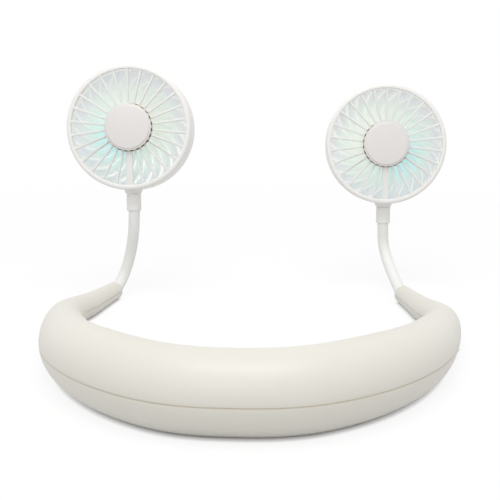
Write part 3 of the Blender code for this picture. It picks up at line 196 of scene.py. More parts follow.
class NECKFAN_Colors(bpy.types.PropertyGroup):
    band: color((0.765, 0.745, 0.675), "Band", "Warm ivory of the band")
    seam: color((0.64, 0.58, 0.47), "Seam", "Tan line where the two shells meet")
    neck: color((0.89, 0.895, 0.87), "Gooseneck", "Cool white of the goosenecks")
    head: color((0.90, 0.885, 0.86), "Head", "Slightly pink white of the heads")
    # spoke is painted shade on the cage's spokes, tinged green with painted lamp light
    spoke: color((0.825, 0.83, 0.805), "Spoke", "Spokes of the front cages")
    cap: color((0.80, 0.775, 0.755), "Cap", "Pinkish grey white of the caps")
    # notch and rim are painted shade: dark in the gaps round the caps and tan between them
    notch: color((0.13, 0.10, 0.06), "Notch", "Dark gaps round the caps")
    rim: color((0.66, 0.58, 0.47), "Rim", "Tan between the dark gaps round the caps")
    mint: color((0.715, 0.78, 0.745), "Mint", "Main tint of the blades")
    lavender: color((0.745, 0.745, 0.775), "Lavender", "Outer tint of the blades")
    # cyan, shade and edge are painted light on the blades: cyan light by the hub on one side, shade low down by
    # the ring, highlights along the edges
    cyan: color((0.62, 0.83, 0.84), "Cyan", "Bright tint of the blades by the hub")
    shade: color((0.62, 0.67, 0.69), "Blade shade", "Blades low down by the ring")
    edge: color((0.85, 0.875, 0.845), "Blade edge", "Pale edges of the blades")
    pale: color((0.805, 0.825, 0.78), "Pale", "Lightest tint of the blades")
    felt: color((0.86, 0.85, 0.80), "Felt", "Scented pad")
    board: color((0.03, 0.20, 0.08), "Board", "Circuit boards")
    steel: color((0.62, 0.62, 0.63), "Steel", "Screws, socket, motors and shafts")
    cell: color((0.08, 0.28, 0.55), "Cell", "Sleeve of the cells")
    lens: color((0.85, 0.88, 0.90), "Window", "Charge lamp window")
    floor: color((1.0, 1.0, 1.0), "Floor", "Floor and background")


class NECKFAN_Stage(bpy.types.PropertyGroup):
    camera_place: FloatVectorProperty(name="Camera", description="Place of the camera",
                                      default=(0.0233, -0.3366, 0.1472), subtype="XYZ",
                                      unit="LENGTH", size=3)
    camera_down: angle(12.0, "Camera pitch", "How far the camera looks down")
    camera_left: angle(2.97, "Camera yaw", "How far the camera is turned to the left")
    focal_pixels: FloatProperty(name="Focal length", default=890.0,
                                description="Focal length in pixels of the photograph")
    floor_size: length(6.0, "Floor size", "Side of the floor")
    world_level: FloatProperty(name="World", description="Strength of the world", default=0.71)
    key_level: FloatProperty(name="Key", description="Power of the lamp overhead", default=2.1)
    fill_level: FloatProperty(name="Fill", description="Power of the lamp behind the camera",
                              default=6.0)
    floor_seen: FloatProperty(name="Floor seen", default=0.86, min=0.0, max=1.0,
                              description="How far the floor near the fan shows plain white")
    floor_bounce: FloatProperty(name="Floor bounce", default=0.65, min=0.0, max=1.0,
                                description="Share of the light that the floor throws back")
    floor_near: length(0.35, "Near floor", "Distance at which the shadow starts to fade")
    floor_far: length(0.90, "Far floor", "Distance at which the floor is plain white")
    contact: length(0.0025, "Contact", "Width of the dark line where the fan rests")


# Shapes

BAND_SHARES = (
    # across, along and fatness, from the middle of the back to an arm tip
    (0.0, 0.0, 1.0),
    (0.299, 0.027, 1.0),
    (0.598, 0.145, 0.942),
    (0.823, 0.334, 0.724),
    (0.996, 0.643, 0.307),
    (0.943, 0.824, 0.111),
    (0.879, 1.0, 0.0),
)
SAMPLES = 60
ROUND_STEPS = 4
HEAD_STEPS = 160
HUB_STEPS = 96
WELD = 1e-7
SHARP = math.radians(40.0)
PLATE_EDGE = math.radians(60.0)

# Bearings in each head's own frame, read from the photograph: where the painted cyan light lies on the blades, and
# on which side the painted shade round each cap's foot shows
CYAN_LIGHT_BEARINGS = {"left": math.radians(-142.0), "right": math.radians(-45.0)}
CYAN_LIGHT_FALLOFF = 1.8
# the painted shade round each cap's foot shows on the side of its bearing and fades out away from it
NOTCH_SHADE_BEARINGS = {"left": math.radians(-27.0), "right": math.radians(-127.0)}
NOTCH_SHADE_FADE_START = -0.5
NOTCH_SHADE_FADE_WIDTH = 0.35


def clamp(value):
    return min(max(value, 0.0), 1.0)


def polar(radius, bearing):
    return radius * math.cos(bearing), radius * math.sin(bearing)


def circle(radius, steps):
    return [polar(radius, 2 * math.pi * i / steps) for i in range(steps)]


def lift(height):
    return Matrix.Translation((0.0, 0.0, height))


def axes(x, y, z, origin):
    """The place with these local axes and this origin."""
    place = Matrix((x, y, z)).transposed().to_4x4()
    place.translation = origin
    return place


def spline(knots, parity):
    """A Catmull-Rom curve through the knots, mirrored at the first and run on at the last."""
    beyond = 3 * knots[-1] - 3 * knots[-2] + knots[-3]
    run = [parity * knots[1]] + list(knots) + [beyond]
    values = []
    for a, b, c, d in zip(run, run[1:], run[2:], run[3:]):
        for i in range(SAMPLES):
            t = i / SAMPLES
            values.append(0.5 * (2 * b + (c - a) * t + (2 * a - 5 * b + 4 * c - d) * t ** 2
                                 + (3 * b - a - 3 * c + d) * t ** 3))
    values.append(knots[-1])
    return values


class BandLine:
    """The band's centre line, read by distance from the middle of its back."""

    def __init__(self, sizes):
        taper = sizes.back_radius - sizes.tip_radius
        self.x = spline([row[0] * sizes.reach for row in BAND_SHARES], -1)
        self.y = spline([row[1] * sizes.depth for row in BAND_SHARES], 1)
        self.r = [sizes.tip_radius + value
                  for value in spline([row[2] * taper for row in BAND_SHARES], 1)]
        self.s = [0.0]
        for i in range(1, len(self.x)):
            self.s.append(self.s[-1] + math.dist((self.x[i], self.y[i]),
                                                 (self.x[i - 1], self.y[i - 1])))
        self.land = sizes.land
        self.half = self.s[-1]

    def read(self, along, values):
        along = min(max(along, 0.0), self.half)
        low = max(i for i, s in enumerate(self.s) if s <= along)
        if low == len(self.s) - 1:
            return values[-1]
        part = (along - self.s[low]) / (self.s[low + 1] - self.s[low])
        return values[low] + (values[low + 1] - values[low]) * part

    def place(self, along):
        """Local X out of the band, local Y up and local Z back along it."""
        side = -1 if along < 0 else 1
        reach = abs(along)
        step = self.half / len(self.s)
        dx = self.read(reach + step, self.x) - self.read(reach - step, self.x)
        dy = self.read(reach + step, self.y) - self.read(max(reach - step, 0.0), self.y)
        if reach < step:
            dy = 0.0
        out = Vector((side * dy, -dx, 0.0)).normalized()
        up = Vector((0.0, 0.0, 1.0))
        radius = self.read(reach, self.r)
        centre = (side * self.read(reach, self.x), self.read(reach, self.y), radius - self.land)
        return axes(out, up, out.cross(up), centre), radius

    def control(self, along, drop):
        """Local Z out of the band, dropped below level, and local X along the arm."""
        place, radius = self.place(along)
        out = place.col[0].to_3d() * math.cos(drop) - Vector((0.0, 0.0, math.sin(drop)))
        forward = -place.col[2].to_3d() * (-1 if along < 0 else 1)
        return axes(forward, out.cross(forward), out, place.translation), radius


def rounded(corners, closed=False):
    """Corners given as (x, y, radius), with each corner turned into a short arc."""
    points = []
    count = len(corners)
    for i, (x, y, radius) in enumerate(corners):
        here = Vector((x, y))
        if radius == 0.0 or (not closed and i in (0, count - 1)):
            points.append(tuple(here))
            continue
        last, following = corners[i - 1], corners[(i + 1) % count]
        before = Vector(last[:2]) - here
        after = Vector(following[:2]) - here
        bend = before.angle(after)
        reach = min(radius / math.tan(bend / 2), before.length * radius / (radius + last[2]),
                    after.length * radius / (radius + following[2]))
        start = here + before.normalized() * reach
        end = here + after.normalized() * reach
        for j in range(ROUND_STEPS + 1):
            t = j / ROUND_STEPS
            shares = ((1 - t) ** 2, 2 * t * (1 - t) * math.sin(bend / 2), t ** 2)
            mixed = start * shares[0] + here * shares[1] + end * shares[2]
            points.append(tuple(mixed / sum(shares)))
    return points


def finish_mesh(name, bm, place=None):
    """Closes, turns outwards and smooths a bmesh, and returns its object, put in place."""
    bmesh.ops.remove_doubles(bm, verts=bm.verts, dist=WELD)
    bmesh.ops.recalc_face_normals(bm, faces=bm.faces)
    mesh = bpy.data.meshes.new(name)
    bm.to_mesh(mesh)
    bm.free()
    mesh.shade_smooth()
    mesh.set_sharp_from_angle(angle=SHARP)
    if place is not None:
        mesh.transform(place)
    piece = bpy.data.objects.new(name, mesh)
    bpy.context.scene.collection.objects.link(piece)
    return piece


def settle(piece):
    """Gives a piece the mesh that its modifiers make."""
    depsgraph = bpy.context.evaluated_depsgraph_get()
    made = bpy.data.meshes.new_from_object(piece.evaluated_get(depsgraph))
    piece.modifiers.clear()
    old = piece.data
    piece.data = made
    bpy.data.meshes.remove(old)
    made.shade_smooth()
    made.set_sharp_from_angle(angle=SHARP)


def cut(piece, tool):
    """Cuts a tool out of a piece, and removes the tool."""
    modifier = piece.modifiers.new("cut", "BOOLEAN")
    modifier.operation = "DIFFERENCE"
    modifier.solver = "EXACT"
    modifier.object = tool
    settle(piece)
    mesh = tool.data
    bpy.data.objects.remove(tool, do_unlink=True)
    bpy.data.meshes.remove(mesh)


def spin_into(bm, profile, steps, closed=False):
    """Turns a profile of (radius, height) points about the local Z."""
    points = [bm.verts.new((x, 0.0, z)) for x, z in profile]
    edges = [bm.edges.new(pair) for pair in zip(points, points[1:])]
    if closed:
        edges.append(bm.edges.new((points[-1], points[0])))
    bmesh.ops.spin(bm, geom=points + edges, cent=(0.0, 0.0, 0.0), axis=(0.0, 0.0, 1.0),
                   dvec=(0.0, 0.0, 0.0), angle=2 * math.pi, steps=steps, use_merge=True,
                   use_duplicate=False)


def turned(name, profile, steps, place):
    """A piece turned from a profile about the local Z of its place."""
    bm = bmesh.new()
    spin_into(bm, profile, steps)
    return finish_mesh(name, bm, place)


def peg(bm, radius, depth, place, steps):
    """A round peg, centred on its place."""
    bmesh.ops.create_cone(bm, cap_ends=True, segments=steps, radius1=radius, radius2=radius,
                          depth=depth, matrix=place)


def mark(bm, layer, chosen):
    """Writes 1 to one of the piece's own maps on the chosen faces, and 0 on the others."""
    for face in bm.faces:
        value = 1.0 if chosen(face) else 0.0
        for loop in face.loops:
            loop[layer].uv = (value, 0.0)


def skin_into(bm, stations, around):
    """Rings at (place, radius) stations, bridged one to the next and open at both ends."""
    rings = []
    for place, radius in stations:
        made = bmesh.ops.create_circle(bm, cap_ends=False, radius=radius, segments=around,
                                       matrix=place)["verts"]
        rings.append((made, list({edge for vert in made for edge in vert.link_edges})))
    for (_, low), (_, high) in zip(rings, rings[1:]):
        bmesh.ops.bridge_loops(bm, edges=low + high)
    return [ring for ring, _ in rings]


def flat_piece(name, loops, thickness, rounding):
    """A flat outline with holes as a mesh, with rounded edges, centred on its own plane."""
    curve = bpy.data.curves.new(name, "CURVE")
    curve.dimensions = "2D"
    curve.fill_mode = "BOTH"
    curve.extrude = thickness / 2
    for loop in loops:
        line = curve.splines.new("POLY")
        line.points.add(len(loop) - 1)
        for point, (x, y) in zip(line.points, loop):
            point.co = (x, y, 0.0, 1.0)
        line.use_cyclic_u = True
    outline = bpy.data.objects.new(name, curve)
    bpy.context.scene.collection.objects.link(outline)
    depsgraph = bpy.context.evaluated_depsgraph_get()
    mesh = bpy.data.meshes.new_from_object(outline.evaluated_get(depsgraph))
    bpy.data.objects.remove(outline, do_unlink=True)
    bpy.data.curves.remove(curve)
    bm = bmesh.new()
    bm.from_mesh(mesh)
    bmesh.ops.remove_doubles(bm, verts=bm.verts, dist=WELD)
    bmesh.ops.recalc_face_normals(bm, faces=bm.faces)
    if rounding:
        rims = [edge for edge in bm.edges if edge.calc_face_angle(0.0) > PLATE_EDGE]
        bmesh.ops.bevel(bm, geom=rims, offset=rounding, offset_type="OFFSET", segments=2,
                        profile=0.5, affect="EDGES", material=-1, clamp_overlap=False)
    bm.to_mesh(mesh)
    bm.free()
    return mesh


def add_mesh(bm, mesh, place):
    mesh.transform(place)
    bm.from_mesh(mesh)
    bpy.data.meshes.remove(mesh)


def head_place(side):
    """The head's frame: its face at local +Z and its stem at local -Y."""
    joint = JOINTS[f"{side}_fan_spin"]
    face = Vector(joint["axis"]).normalized()
    up = (Vector(joint["pos_m"]) - joint_points(side)[-1]).normalized()
    return axes(up.cross(face), up, face, joint["pos_m"])


def joint_points(side):
    """The six joint centres of a gooseneck, from the arm tip up."""
    names = [f"{side}_neck_{kind}_{i}" for i in (1, 2, 3) for kind in ("lean", "sway")]
    return [Vector(JOINTS[name]["pos_m"]) for name in names]


def mount(piece, body, slot, material, *nodes):
    """Puts a finished piece on its body in place of its solids."""
    piece.data.materials.clear()
    piece.data.materials.append(material)
    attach(piece, body)
    if nodes:
        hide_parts(*nodes)


# Materials

BLACK = (0.0, 0.0, 0.0)
WHITE = (1.0, 1.0, 1.0)
SURFACE = "Moulded Surface"
DRIFT_SCALE = 18.0
GRAIN_SCALE = 1600.0
GRAIN_DEPTH = 0.00005
FILM_SCALE = 90.0
HEAD_FINISH = (0.36, 0.015, 0.2)
SHELL_GLOW = 0.18
# the blades' glow is painted lamp light
BLADE_PAINTED_LIGHT = 0.28


class Graph:
    """The nodes of a material, a group or the world, each made, set and linked in one call."""

    def __init__(self, tree):
        self.nodes, self.links = tree.nodes, tree.links

    def put(self, socket, value):
        """Links another node's output to a socket, or gives the socket its own value."""
        if isinstance(value, bpy.types.NodeSocket):
            self.links.new(value, socket)
        elif socket.type == "RGBA":
            socket.default_value = (*value, 1.0)
        else:
            socket.default_value = value

    def add(self, kind, inputs, **settings):
        """Makes a shader node with its settings and inputs, and returns its outputs."""
        node = self.nodes.new(f"ShaderNode{kind}")
        for name, value in settings.items():
            setattr(node, name, value)
        for key, value in inputs.items():
            self.put(node.inputs[key], value)
        return node.outputs

    def calculate(self, operation, *values):
        return self.add("Math", dict(enumerate(values)), operation=operation)[0]

    def mix(self, share, first, second):
        """Mixes two tones, each a colour or another node's output, by a share."""
        return self.add("Mix", {0: share, 6: first, 7: second}, data_type="RGBA")[2]

    def spread(self, value, low, high):
        """Maps a 0 to 1 value to a range."""
        return self.add("MapRange", {"Value": value, "To Min": low, "To Max": high})["Result"]

    def ramp(self, value, start, end, low=0.0, top=1.0):
        """A smooth rise from one level at the start to another at the end."""
        inputs = {"Value": value, "From Min": start, "From Max": end, "To Min": low, "To Max": top}
        return self.add("MapRange", inputs, interpolation_type="SMOOTHSTEP")["Result"]

    def where(self):
        return self.add("TexCoord", {})["Object"]

    def noise(self, scale):
        inputs = {"Vector": self.where(), "Scale": scale, "Detail": 2.0}
        return self.add("TexNoise", inputs)["Fac"]

    def own_map(self, name):
        """The two values of one of the piece's own maps."""
        split = self.add("SeparateXYZ", {"Vector": self.add("UVMap", {}, uv_map=name)["UV"]})
        return split["X"], split["Y"]


def moulded_group():
    """Fine moulded grain with a slow drift of tone and gloss."""
    tree = bpy.data.node_groups.new(SURFACE, "ShaderNodeTree")
    for name, kind, value in (("Tone", "Color", (0.8, 0.8, 0.8, 1.0)), ("Drift", "Float", 0.04),
                              ("Roughness", "Float", 0.4), ("Grain", "Float", 0.1)):
        socket = tree.interface.new_socket(name, in_out="INPUT", socket_type=f"NodeSocket{kind}")
        socket.default_value = value
    for name, kind in (("Color", "Color"), ("Roughness", "Float"), ("Normal", "Vector")):
        tree.interface.new_socket(name, in_out="OUTPUT", socket_type=f"NodeSocket{kind}")
    graph = Graph(tree)
    given = graph.nodes.new("NodeGroupInput").outputs
    sink = graph.nodes.new("NodeGroupOutput").inputs
    slow = graph.spread(graph.noise(DRIFT_SCALE), -1.0, 1.0)
    grain = graph.noise(GRAIN_SCALE)
    shift = graph.calculate("MULTIPLY_ADD", slow, given["Drift"], 1.0)
    tone = graph.add("HueSaturation", {"Color": given["Tone"], "Value": shift})["Color"]
    gloss = graph.calculate("MULTIPLY_ADD", graph.spread(grain, -0.25, 0.25),
                            given["Roughness"], given["Roughness"])
    normal = graph.add("Bump", {"Distance": GRAIN_DEPTH, "Strength": given["Grain"],
                                "Height": grain})["Normal"]
    for name, value in (("Color", tone), ("Roughness", gloss), ("Normal", normal)):
        graph.put(sink[name], value)


def principled(name):
    material = bpy.data.materials.new(name)
    material.use_nodes = True
    graph = Graph(material.node_tree)
    return material, graph, graph.nodes["Principled BSDF"].inputs


def moulded(name, tone, roughness, drift, grain, coat=0.0, sheen=0.0):
    """The shared surface in one finish. The tone is a colour, or a function that makes it."""
    material, graph, shader = principled(name)
    surface = graph.add("Group", {"Tone": tone(graph) if callable(tone) else tone,
                                  "Drift": drift, "Roughness": roughness, "Grain": grain},
                        node_tree=bpy.data.node_groups[SURFACE])
    for label, value in (("Base Color", surface["Color"]), ("Roughness", surface["Roughness"]),
                         ("Normal", surface["Normal"]), ("Coat Weight", coat),
                         ("Sheen Weight", sheen)):
        graph.put(shader[label], value)
    return material


def lit_shell(colors):
    """The head's plastic, with the lamps' light on the faces that look inwards."""
    material = moulded("lit_shell", colors.head, *HEAD_FINISH)
    graph = Graph(material.node_tree)
    shader = graph.nodes["Principled BSDF"].inputs
    inside, _ = graph.own_map("inside")
    graph.put(shader["Emission Color"], graph.mix(inside, BLACK, colors.mint))
    graph.put(shader["Emission Strength"], SHELL_GLOW)
    return material


def blade_material(colors):
    """Clear plastic with a pale film: pale green by the hub, then mint and lavender. Painted on it are cyan light
    by the hub on one side, shade low down by the ring, highlights along the edges and a glow of lamp light.
    """
    material, graph, shader = principled("iridescent_blade")
    reach, turn = graph.own_map("span")
    beside, low = graph.own_map("rim")
    outer = graph.nodes.new("ShaderNodeValToRGB")
    for stop, tone, place in zip(outer.color_ramp.elements, (colors.mint, colors.lavender),
                                 (0.55, 0.90)):
        stop.color = (*tone, 1.0)
        stop.position = place
    drift = graph.spread(graph.noise(FILM_SCALE), -0.45, 0.45)
    graph.put(outer.inputs["Fac"], graph.calculate("ADD", reach, drift))
    film = graph.mix(turn, colors.pale, colors.cyan)
    # the outer film, then painted shade low down by the ring, then painted highlights along the edges
    for share, tone in ((graph.ramp(reach, 0.15, 0.85), outer.outputs["Color"]),
                        (graph.ramp(low, 0.0, 1.0, top=0.6), colors.shade),
                        (graph.ramp(beside, 0.60, 0.85, top=0.85), colors.edge)):
        film = graph.mix(share, film, tone)
    # the emission is painted lamp light on the blades
    for label, value in (("Base Color", film), ("Emission Color", film),
                         ("Emission Strength", BLADE_PAINTED_LIGHT), ("Roughness", 0.25),
                         ("Alpha", 0.75)):
        graph.put(shader[label], value)
    return material


def make_materials(colors):
    moulded_group()

    def seamed(graph):
        """Ivory, with a tan line where the two shells meet."""
        beside, _ = graph.own_map("seam")
        return graph.mix(graph.ramp(beside, 0.66, 0.92, top=0.75), colors.band, colors.seam)

    def caged_with_painted_shade(graph):
        """The head's tone, a little dimmer and greener on the thin spokes: painted shade, tinged with painted lamp
        light.
        """
        thin, _ = graph.own_map("spokes")
        return graph.mix(thin, colors.head, colors.spoke)

    def notched(graph):
        """Painted shade: dark at each notch and tan between them, fading out on one side of the foot."""
        along, shown = graph.own_map("notches")
        painted_dashes = graph.mix(graph.ramp(along, 0.40, 0.60), colors.notch, colors.rim)
        return graph.mix(shown, colors.head, painted_dashes)

    finishes = {
        # tone, roughness, drift of the tone, depth of the grain, coat and sheen
        "ivory_shell": (seamed, 0.42, 0.02, 0.3),
        "gooseneck_white": (colors.neck, 0.55, 0.015, 0.4),
        "head_white": (colors.head, *HEAD_FINISH),
        "cage_white": (caged_with_painted_shade, *HEAD_FINISH),
        "cap_white": (colors.cap, 0.34, 0.015, 0.2),
        # the ring behind the notches carries painted shade
        "notch_dark": (notched, 0.6, 0.1, 0.3),
        "pad_felt": (colors.felt, 0.95, 0.1, 1.0, 0.0, 0.4),
        "board_green": (colors.board, 0.45, 0.25, 0.2, 0.3),
        "steel": (colors.steel, 0.28, 0.06, 0.15),
        "cell_can": (colors.cell, 0.35, 0.05, 0.1, 0.5),
        "lens": (colors.lens, 0.10, 0.0, 0.0, 0.8),
    }
    made = {name: moulded(name, *finish) for name, finish in finishes.items()}
    made["lit_shell"] = lit_shell(colors)
    made["blade_mint"] = blade_material(colors)
    return made


MATERIALS = {}


# Operators, one for each piece or group of like pieces

class NECKFAN_OT_band(bpy.types.Operator):
    """Makes the two shells of the band, with their seam, holes and counterbores"""
    bl_idname = "neckfan.band"
    bl_label = "Band Shells"

    def execute(self, context):
        sizes = context.scene.neckfan_band
        controls = context.scene.neckfan_controls
        line = BandLine(sizes)
        for half, direction in (("upper", 1), ("lower", -1)):
            shell = self.shell(f"{half}_skin", sizes, line, direction)
            if half == "lower":
                self.cut_controls(shell, line, controls)
                self.cut_screws(shell, line, controls)
            mount(shell, "band", "ivory_shell", MATERIALS["ivory_shell"], f"{half}_shell")
        return {"FINISHED"}

    def shell(self, name, sizes, line, direction):
        """One half of the tube, with its wall and the rounding at the seam."""
        bm = bmesh.new()
        count = sizes.stations
        stations = [line.place(line.half * (2 * i / count - 1)) for i in range(count + 1)]
        rings = skin_into(bm, stations, sizes.around)
        seam = bm.loops.layers.uv.new("seam")
        dropped = []
        for (place, _), ring in zip(stations, rings):
            centre = place.translation.z
            for vert in ring:
                rise = vert.co.z - centre
                if abs(rise) < 1e-6:
                    for loop in vert.link_loops:
                        loop[seam].uv = (1.0, 0.0)
                    vert.co.z += sizes.seam / 2 * direction
                elif rise * direction < 0:
                    dropped.append(vert)
                vert.co.z = max(vert.co.z, 0.0)
        bmesh.ops.delete(bm, geom=dropped, context="VERTS")
        shell = finish_mesh(name, bm)
        wall = shell.modifiers.new("wall", "SOLIDIFY")
        wall.thickness = sizes.wall
        wall.offset = -1.0
        edge = shell.modifiers.new("edge", "BEVEL")
        edge.width = sizes.seam_round
        edge.segments = 3
        edge.limit_method = "ANGLE"
        edge.angle_limit = math.radians(50.0)
        settle(shell)
        return shell

    def cut_controls(self, shell, line, controls):
        bm = bmesh.new()
        overrun = 0.004
        for along, radius in ((controls.button_place, controls.button_radius),
                              (-controls.button_place, controls.button_radius),
                              (controls.button_place - controls.lens_spacing,
                               controls.lens_radius)):
            place, band_radius = line.control(along, controls.drop)
            peg(bm, radius + controls.clearance, 2 * overrun, place @ lift(band_radius), 40)
        place, band_radius = line.control(-controls.socket_place, controls.drop)
        width = controls.socket_width + 2 * controls.clearance
        thick = controls.socket_thickness + 2 * controls.clearance
        corners = [(x * width / 2, y * thick / 2, thick / 2)
                   for x, y in ((1, 1), (-1, 1), (-1, -1), (1, -1))]
        add_mesh(bm, flat_piece("socket_hole", [rounded(corners, True)], 2 * overrun, 0.0),
                 place @ lift(band_radius))
        cut(shell, finish_mesh("control_holes", bm))

    def cut_screws(self, shell, line, controls):
        bm = bmesh.new()
        for along in (controls.screw_near, controls.screw_far):
            for side in (-1, 1):
                place, _ = line.place(side * along)
                at = Matrix.Translation((place.translation.x, place.translation.y, 0.0))
                peg(bm, controls.screw_radius, 2 * controls.screw_depth, at, 32)
        cut(shell, finish_mesh("screw_holes", bm))


class NECKFAN_OT_controls(bpy.types.Operator):
    """Makes the two buttons and the charge lamp window"""
    bl_idname = "neckfan.controls"
    bl_label = "Buttons and Window"

    def execute(self, context):
        controls = context.scene.neckfan_controls
        line = BandLine(context.scene.neckfan_band)
        button_depth, dish = 0.004, 0.00025
        r = controls.button_radius
        for side, body, node in ((1, "speed_key", "speed_button"),
                                 (-1, "light_key", "light_button")):
            place, band_radius = line.control(side * controls.button_place, controls.drop)
            top = band_radius + controls.button_proud
            low = band_radius - button_depth
            profile = rounded([(0.0, top - dish, 0.0), (r * 0.7, top, 0.002), (r, top, 0.0005),
                               (r, low, 0.0), (0.0, low, 0.0)])
            mount(turned(f"{node}_cap", profile, 48, place), body, "head_white",
                  MATERIALS["head_white"], node)
        window_depth, dome = 0.0032, 0.0001
        r = controls.lens_radius
        place, top = line.control(controls.button_place - controls.lens_spacing, controls.drop)
        low = top - window_depth
        profile = rounded([(0.0, top, 0.0), (r, top - dome, 0.0002), (r, low, 0.0),
                           (0.0, low, 0.0)])
        mount(turned("lamp_window", profile, 32, place), "band", "lens", MATERIALS["lens"],
              "indicator_lens")
        return {"FINISHED"}


class NECKFAN_OT_gooseneck(bpy.types.Operator):
    """Makes the skin of both goosenecks, one length over each joint"""
    bl_idname = "neckfan.gooseneck"
    bl_label = "Goosenecks"

    def execute(self, context):
        sizes = context.scene.neckfan_neck
        line = BandLine(context.scene.neckfan_band)
        for side, end in zip(SIDES, (-1, 1)):
            tip, _ = line.place(line.half * end)
            self.skin(side, sizes, tip.col[2].to_3d() * -end)
        return {"FINISHED"}

    def skin(self, side, sizes, forward):
        """One arc over each joint, from the middle of one link to the middle of the next."""
        centres = joint_points(side)
        up = head_place(side).col[1].to_3d()
        leave = centres[0] - forward * sizes.leave
        enter = centres[-1] + up * sizes.sleeve_low
        ends = [leave] + [(a + b) / 2 for a, b in zip(centres, centres[1:])] + [enter]
        links = range(1, len(centres))
        nodes = [f"neck_root_{side}"] + [f"neck_link_{side}_{i}" for i in links]
        parts = [i / sizes.arc_rings for i in range(sizes.arc_rings + 1)]
        for k, (start, centre, end) in enumerate(zip(ends, centres, ends[1:])):
            points = [start * (1 - part) ** 2 + centre * 2 * part * (1 - part) + end * part ** 2
                      for part in parts]
            if k == 0:
                inside = sizes.root - sizes.leave
                points = [leave - forward * inside * (1 - i / 4) for i in range(4)] + points
            if k == len(centres) - 1:
                points += [end + up * sizes.top * i / 2 for i in (1, 2)]
            bm = bmesh.new()
            rings = skin_into(bm, self.stations(points, sizes.radius), sizes.around)
            for ring in (rings[0], rings[-1]):
                bmesh.ops.contextual_create(bm, geom=ring)
            piece = finish_mesh(f"gooseneck_{side}_{k + 1}", bm)
            piece.data.materials.append(MATERIALS["gooseneck_white"])
            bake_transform(piece)
            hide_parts(nodes[k])

    def stations(self, points, radius):
        """A ring's place at each point, square to the line through its neighbours."""
        places = []
        side = Vector((1.0, 0.0, 0.0))
        for last, point, following in zip(points[:1] + points, points, points[1:] + points[-1:]):
            along = (following - last).normalized()
            across = (side - side.dot(along) * along).normalized()
            places.append((axes(across, along.cross(across), along, point), radius))
        return places


class NECKFAN_OT_sleeves(bpy.types.Operator):
    """Makes the sleeve between each gooseneck and its head"""
    bl_idname = "neckfan.sleeves"
    bl_label = "Sleeves"

    def execute(self, context):
        sizes = context.scene.neckfan_neck
        r = sizes.sleeve_radius
        bore = sizes.radius + 0.00015
        spigot = 0.003
        low = sizes.sleeve_low
        top = low + sizes.sleeve_length
        bore_end, spigot_end = low + 0.004, top + 0.003
        profile = rounded([(bore, bore_end, 0.0), (bore, low, 0.0002), (r, low, 0.0003),
                           (r, top, 0.0002), (spigot, top, 0.0), (spigot, spigot_end, 0.0),
                           (0.0, spigot_end, 0.0), (0.0, bore_end, 0.0)])
        for side in SIDES:
            across, up, face = (head_place(side).col[i].to_3d() for i in range(3))
            stem = axes(across, -face, up, joint_points(side)[-1])
            mount(turned(f"sleeve_skin_{side}", profile, 56, stem), f"{side}_head", "head_white",
                  MATERIALS["head_white"], f"sleeve_{side}")
        return {"FINISHED"}


class NECKFAN_OT_cages(bpy.types.Operator):
    """Makes the front cage of each head: ring, spokes and hub"""
    bl_idname = "neckfan.cages"
    bl_label = "Front Cages"

    def execute(self, context):
        sizes = context.scene.neckfan_head
        inside = sizes.radius - sizes.ring
        for side in SIDES:
            bm = bmesh.new()
            # the spokes map picks out where the painted shade of the spokes goes
            thin = bm.loops.layers.uv.new("spokes")
            self.ring(bm, sizes, inside)
            self.spokes(bm, sizes, inside)
            self.hub(bm, sizes)
            mark(bm, thin, lambda face: sizes.hub < face.calc_center_median().xy.length < inside)
            mount(finish_mesh(f"front_cage_{side}", bm, head_place(side)), f"{side}_head",
                  "head_white", MATERIALS["cage_white"], f"front_grille_{side}")
        return {"FINISHED"}

    def ring(self, bm, sizes, inside):
        bore = sizes.radius - sizes.wall
        low = sizes.face - sizes.spoke_depth - sizes.spoke_recess
        profile = rounded([
            (inside, low, 0.0), (inside, sizes.face, 0.0005),
            (sizes.radius, sizes.face, sizes.front_round),
            (sizes.radius, sizes.parting, 0.0003), (bore, sizes.parting, 0.0),
            (bore, low, 0.0)], True)
        spin_into(bm, profile, HEAD_STEPS, True)

    def spokes(self, bm, sizes, inside):
        """A plate with a slot between each spoke and the next."""
        run_in, under_ring = 0.0004, 0.0012
        hub_corner, rim_corner = 0.0003, 0.0011
        inner, outer = sizes.hub - run_in, inside + run_in
        pitch = 2 * math.pi / sizes.spokes

        def half(index, radius):
            """Half the angle that a spoke takes up. The first one is the wide one."""
            part = (radius - inner) / (outer - inner)
            width = sizes.spoke_hub + (sizes.spoke_rim - sizes.spoke_hub) * part
            return (width if index % sizes.spokes else sizes.stem_spoke) / 2 / radius

        loops = [circle(inside + under_ring, HEAD_STEPS),
                 circle((sizes.cup + sizes.hub) / 2, HUB_STEPS)]
        for index in range(sizes.spokes):
            start = -math.pi / 2 + index * pitch
            (low0, high0), (low1, high1) = (
                (start + half(index, radius), start + pitch - half(index + 1, radius))
                for radius in (inner, outer))
            loops.append(rounded([(*polar(inner, low0), hub_corner),
                                  (*polar(outer, low1), rim_corner),
                                  (*polar(outer, (low1 + high1) / 2), 0.0),
                                  (*polar(outer, high1), rim_corner),
                                  (*polar(inner, high0), hub_corner)], True))
        level = sizes.face - sizes.spoke_recess - sizes.spoke_depth / 2
        add_mesh(bm, flat_piece("spokes", loops, sizes.spoke_depth, sizes.spoke_round),
                 lift(level))

    def hub(self, bm, sizes):
        """The pocket for the cap, with its rim, wall and floor."""
        wall = 0.0015
        top = sizes.face - sizes.spoke_recess
        low = top - sizes.spoke_depth
        floor = top - sizes.cup_depth
        outside = sizes.cup + wall
        profile = rounded([
            (0.0, floor, 0.0), (sizes.cup, floor, 0.0), (sizes.cup, top, 0.0002),
            (sizes.hub, top, 0.0004), (sizes.hub, low, 0.0003), (outside, low, 0.0),
            (outside, floor - wall, 0.0008), (0.0, floor - wall, 0.0)])
        spin_into(bm, profile, HUB_STEPS)


